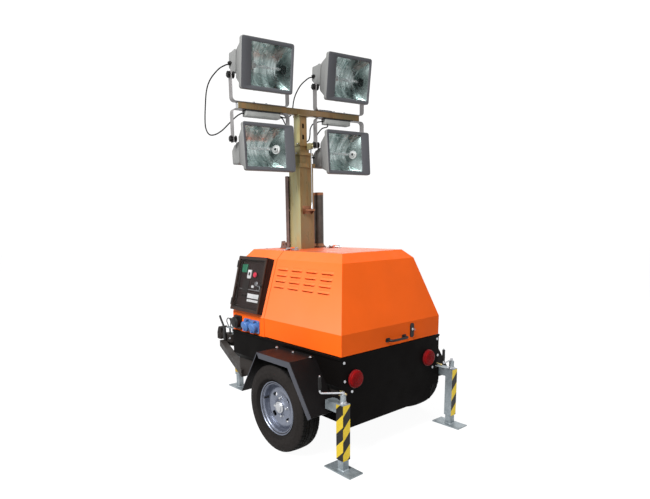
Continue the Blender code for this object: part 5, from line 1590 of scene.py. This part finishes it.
def make_wheels():
    """The tyres and rims, with wheel nuts, cap, valve and brake drum."""
    tyre = tyre_mesh()
    rim = rim_mesh()
    for word, side in (("left", 1), ("right", -1)):
        body = "wheel_" + word
        at = TRAILER @ Matrix.Translation((0, side * WHEEL_Y, TYRE_RADIUS))
        if side < 0:
            at = at @ Matrix.Rotation(math.pi, 4, "Z")
        piece = add_piece(tyre, "tread_tyre_" + word, "rubber", body, matrix=at, smooth=28)
        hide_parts("tyre_" + word)
        piece = add_piece(rim, "disc_rim_" + word, "wheel", body, matrix=at, smooth=40)
        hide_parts("rim_" + word)
        parts = Shape()
        parts.turned([(0.041, 0.0), (0.041, 0.018), (0.038, 0.022), (0.030, 0.024), (0.028, 0.029), (0.010, 0.031),
                      (0.0, 0.031)], aimed((0, 0.020, 0), (0, 1, 0)), 36)
        for index in range(4):
            angle = math.radians(90 * index + 85)
            spot = (0.062 * math.cos(angle), 0.013, 0.062 * math.sin(angle))
            parts.turned([(0.013, 0), (0.013, 0.004), (0.010, 0.006), (0.0095, 0.018), (0.007, 0.020)],
                         aimed(spot, (0, 1, 0)), 6)
        parts.finish("wheel_nuts_" + word, "steel", body, 0.0006, matrix=at)
        drum = Shape()
        drum.turned([(0.0, -0.052), (0.100, -0.052), (0.104, -0.046), (0.104, -0.012), (0.098, -0.006), (0.0, -0.006)],
                    aimed((0, 0, 0), (0, 1, 0)), 40)
        drum.finish("brake_drum_" + word, "engine", body, 0.001, matrix=at)
        valve = Shape()
        angle = math.radians(12)
        spot = (0.150 * math.cos(angle), 0.014, 0.150 * math.sin(angle))
        valve.turned([(0.006, 0), (0.006, 0.008), (0.004, 0.010), (0.004, 0.030), (0.005, 0.031), (0.005, 0.038)],
                     aimed(spot, (0.1, 1, 0)), 14)
        valve.finish("valve_" + word, "plastic", body, matrix=at)


# Legs and drawbar

REAR_LEG_X = -0.500
REAR_LEG_Y = 0.556
FRONT_LEG = (1.330, 0.135)
LEG_TOP_Z = 0.435


def crank_piece(name, x, y, heading, body, node):
    """A crank with a round bar, a vertical black grip and a bright tip."""
    angle = math.radians(heading)
    z = LEG_TOP_Z + 0.055
    reach = 0.140
    end = Vector((x + reach * math.cos(angle), y + reach * math.sin(angle), z + 0.010))
    steel = Shape()
    steel.rod((x, y, z + 0.0003), (x, y, z + 0.020), 0.0095, 18)
    steel.pipe(smooth_route([
        (x, y, z + 0.011), (x + 0.3 * (end.x - x), y + 0.3 * (end.y - y), z + 0.011),
        (x + 0.85 * (end.x - x), y + 0.85 * (end.y - y), z + 0.011),
        (end.x - 0.006 * math.cos(angle), end.y - 0.006 * math.sin(angle), z + 0.013), (end.x, end.y, z + 0.022),
        (end.x, end.y, z + 0.040),
    ], 5), 0.0058, 12)
    steel.rod((end.x, end.y, z + 0.030), (end.x, end.y, z + 0.122), 0.0048, 12)
    steel.turned([(0.029, 0), (0.029, 0.003), (0.022, 0.004), (0.022, 0.012), (0.018, 0.014)],
                 Matrix.Translation((x, y, LEG_TOP_Z + 0.0003)), 28)
    piece = steel.finish(name, "steel", body, 0.0005, matrix=TRAILER)
    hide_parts(node)
    grip = Shape()
    grip.turned([(0.008, 0), (0.010, 0.003), (0.0108, 0.030), (0.0098, 0.060), (0.0105, 0.078), (0.008, 0.082)],
                Matrix.Translation((end.x, end.y, z + 0.032)), 20)
    grip.finish(name + "_grip", "plastic", body, matrix=TRAILER)


def make_legs():
    """Cranks, plate welds and lock pins of the legs."""
    for word, side, heading in (("left", 1, 50), ("right", -1, 100)):
        body = "rear_arm_" + word
        y = side * REAR_LEG_Y
        crank_piece("crank_" + word, REAR_LEG_X, y, heading, body, "rear_crank_" + word)
        foot_trim("foot_weld_" + word, REAR_LEG_X, y, 0.075, "rear_foot_" + word)
    crank_piece("crank_front", *FRONT_LEG, 200, "trailer", "front_crank")
    foot_trim("foot_weld_front", *FRONT_LEG, 0.125, "front_foot")
    band = Shape()
    x, y = FRONT_LEG
    band.loft([square((x, y), 0.0302, 0.150, 0.003), square((x, y), 0.0312, 0.151, 0.003),
               square((x, y), 0.0312, 0.215, 0.003), square((x, y), 0.0302, 0.216, 0.003)], caps=(False, False))
    band.finish("front_leg_band", "sleeve", "trailer", matrix=TRAILER)
    pins = Shape()
    for side in (1, -1):
        y = side * 0.470
        pins.rod((-0.391, y, 0.4375), (-0.391, y, 0.470), 0.007, 14)
        pins.pipe(smooth_route([(-0.391, y, 0.462), (-0.420, y + side * 0.01, 0.474), (-0.452, y + side * 0.02, 0.466)], 5),
                  0.0045, 10)
        pins.turned([(0.0, -0.010), (0.006, -0.008), (0.0095, 0), (0.006, 0.008), (0.0, 0.010)],
                    aimed((-0.456, y + side * 0.021, 0.465), (-1, 0, 0)), 16)
        pins.turned([(0.014, 0), (0.014, 0.003), (0.010, 0.004)], Matrix.Translation((-0.391, y, 0.437)), 16)
    pins.finish("arm_lock_pins", "zinc", "trailer", 0.0004, matrix=TRAILER)


def foot_trim(name, x, y, tube_end, body):
    """Weld bead on a foot plate."""
    trim = Shape()
    half = 0.0238
    trim.loft([square((x, y), half + 0.006, 0.0082, 0.008), square((x, y), half + 0.0005, 0.014, 0.006)], caps=(False, False))
    trim.finish(name, "galvanised", body, 0.0003, matrix=TRAILER)


def make_drawbar():
    """The overrun head, brake rod, hand brake with its grip, tow cable and lever ring."""
    black = Shape()
    black.prism(rounded((1.700, 0.0405), (1.742, 0.0555), 0.003), 0.380, 0.505)
    black.pipe(smooth_route([(1.722, 0.048, 0.495), (1.745, 0.048, 0.530), (1.785, 0.048, 0.585), (1.800, 0.048, 0.612)], 6),
               0.0105, 14)
    piece = black.finish("brake_lever", "plastic", "trailer", 0.0008, matrix=TRAILER)
    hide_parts("handbrake_lever")

    head = Shape()
    bottom = 0.3603
    for low_x, high_x, half, top in ((1.620, 1.700, 0.038, 0.436), (1.704, 1.760, 0.040, 0.440)):
        head.prism(rounded((low_x, -half), (high_x, half), 0.006), bottom, top)
    for index in range(7):
        x = 1.764 + index * 0.010
        head.turned([(0.030, 0), (0.036, 0.004), (0.030, 0.0085)], aimed((x, 0, 0.402), (1, 0, 0)), 24)
    head.prism([(1.828, bottom), (1.898, bottom), (1.900, bottom + 0.008), (1.898, 0.425), (1.880, 0.470), (1.868, 0.488),
                (1.815, 0.498), (1.792, 0.498), (1.792, 0.486), (1.828, 0.470)], -0.030, 0.030, axis="Y")
    head.turned([(0.034, 0), (0.036, 0.004), (0.036, 0.050), (0.030, 0.062)], Matrix.Translation((1.862, 0, bottom)), 28)
    piece = head.finish("overrun_head", "frame", "trailer", 0.0012, matrix=TRAILER)
    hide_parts("tow_coupling")

    loop = Shape()
    loop.pipe(smooth_route([
        (1.668, 0.020, 0.436), (1.672, 0.020, 0.490), (1.700, 0.020, 0.535), (1.716, 0.020, 0.565), (1.700, 0.020, 0.592),
        (1.668, 0.020, 0.596), (1.645, 0.020, 0.570), (1.650, 0.020, 0.535), (1.662, 0.020, 0.490), (1.660, 0.020, 0.436),
    ], 5), 0.0045, 12)
    loop.finish("breakaway_loop", "plastic", "trailer", matrix=TRAILER)
    catch = Shape()
    catch.prism(rounded((1.634, -0.010), (1.698, 0.036), 0.006), 0.500, 0.512)
    catch.rod((1.640, 0.000, 0.436), (1.640, 0.000, 0.503), 0.007, 14)
    catch.rod((1.690, 0.000, 0.436), (1.690, 0.000, 0.503), 0.007, 14)
    catch.finish("overrun_catch", "galvanised", "trailer", 0.001, matrix=TRAILER)

    steel = Shape()
    for x in (1.640, 1.730):
        for y in (-0.0385, 0.0385):
            steel.turned([(0.011, 0), (0.011, 0.002), (0.008, 0.003), (0.008, 0.009)],
                         aimed((x, y, 0.400), (0, 1 if y > 0 else -1, 0)), 6)
    steel.rod((1.610, 0, 0.395), (0.860, 0.0, 0.372), 0.006, 12)
    steel.finish("brake_rod", "steel", "trailer", 0.0004, matrix=TRAILER)


def make_fender_trim():
    """Bolts that hold the fenders."""
    bolts = Shape()
    for side in (1, -1):
        for x in (-0.18, 0.0, 0.18):
            bolts.turned([(0.011, 0), (0.011, 0.002), (0.008, 0.003), (0.008, 0.008)],
                         aimed((x, side * 0.540, 0.657), (0, 0, 1)), 6)
    bolts.finish("fender_bolts", "steel", "trailer", 0.0004, matrix=TRAILER)


def make_all():
    """Build every piece of the scene."""
    make_camera()
    make_leads()
    make_stage()
    dress_cad()
    make_lamps()
    make_crossbar()
    make_mast()
    make_louvres()
    make_hood_trim()
    make_rear_trim()
    make_panel()
    make_sockets()
    make_wheels()
    make_legs()
    make_drawbar()
    make_fender_trim()


make_looks()
make_all()
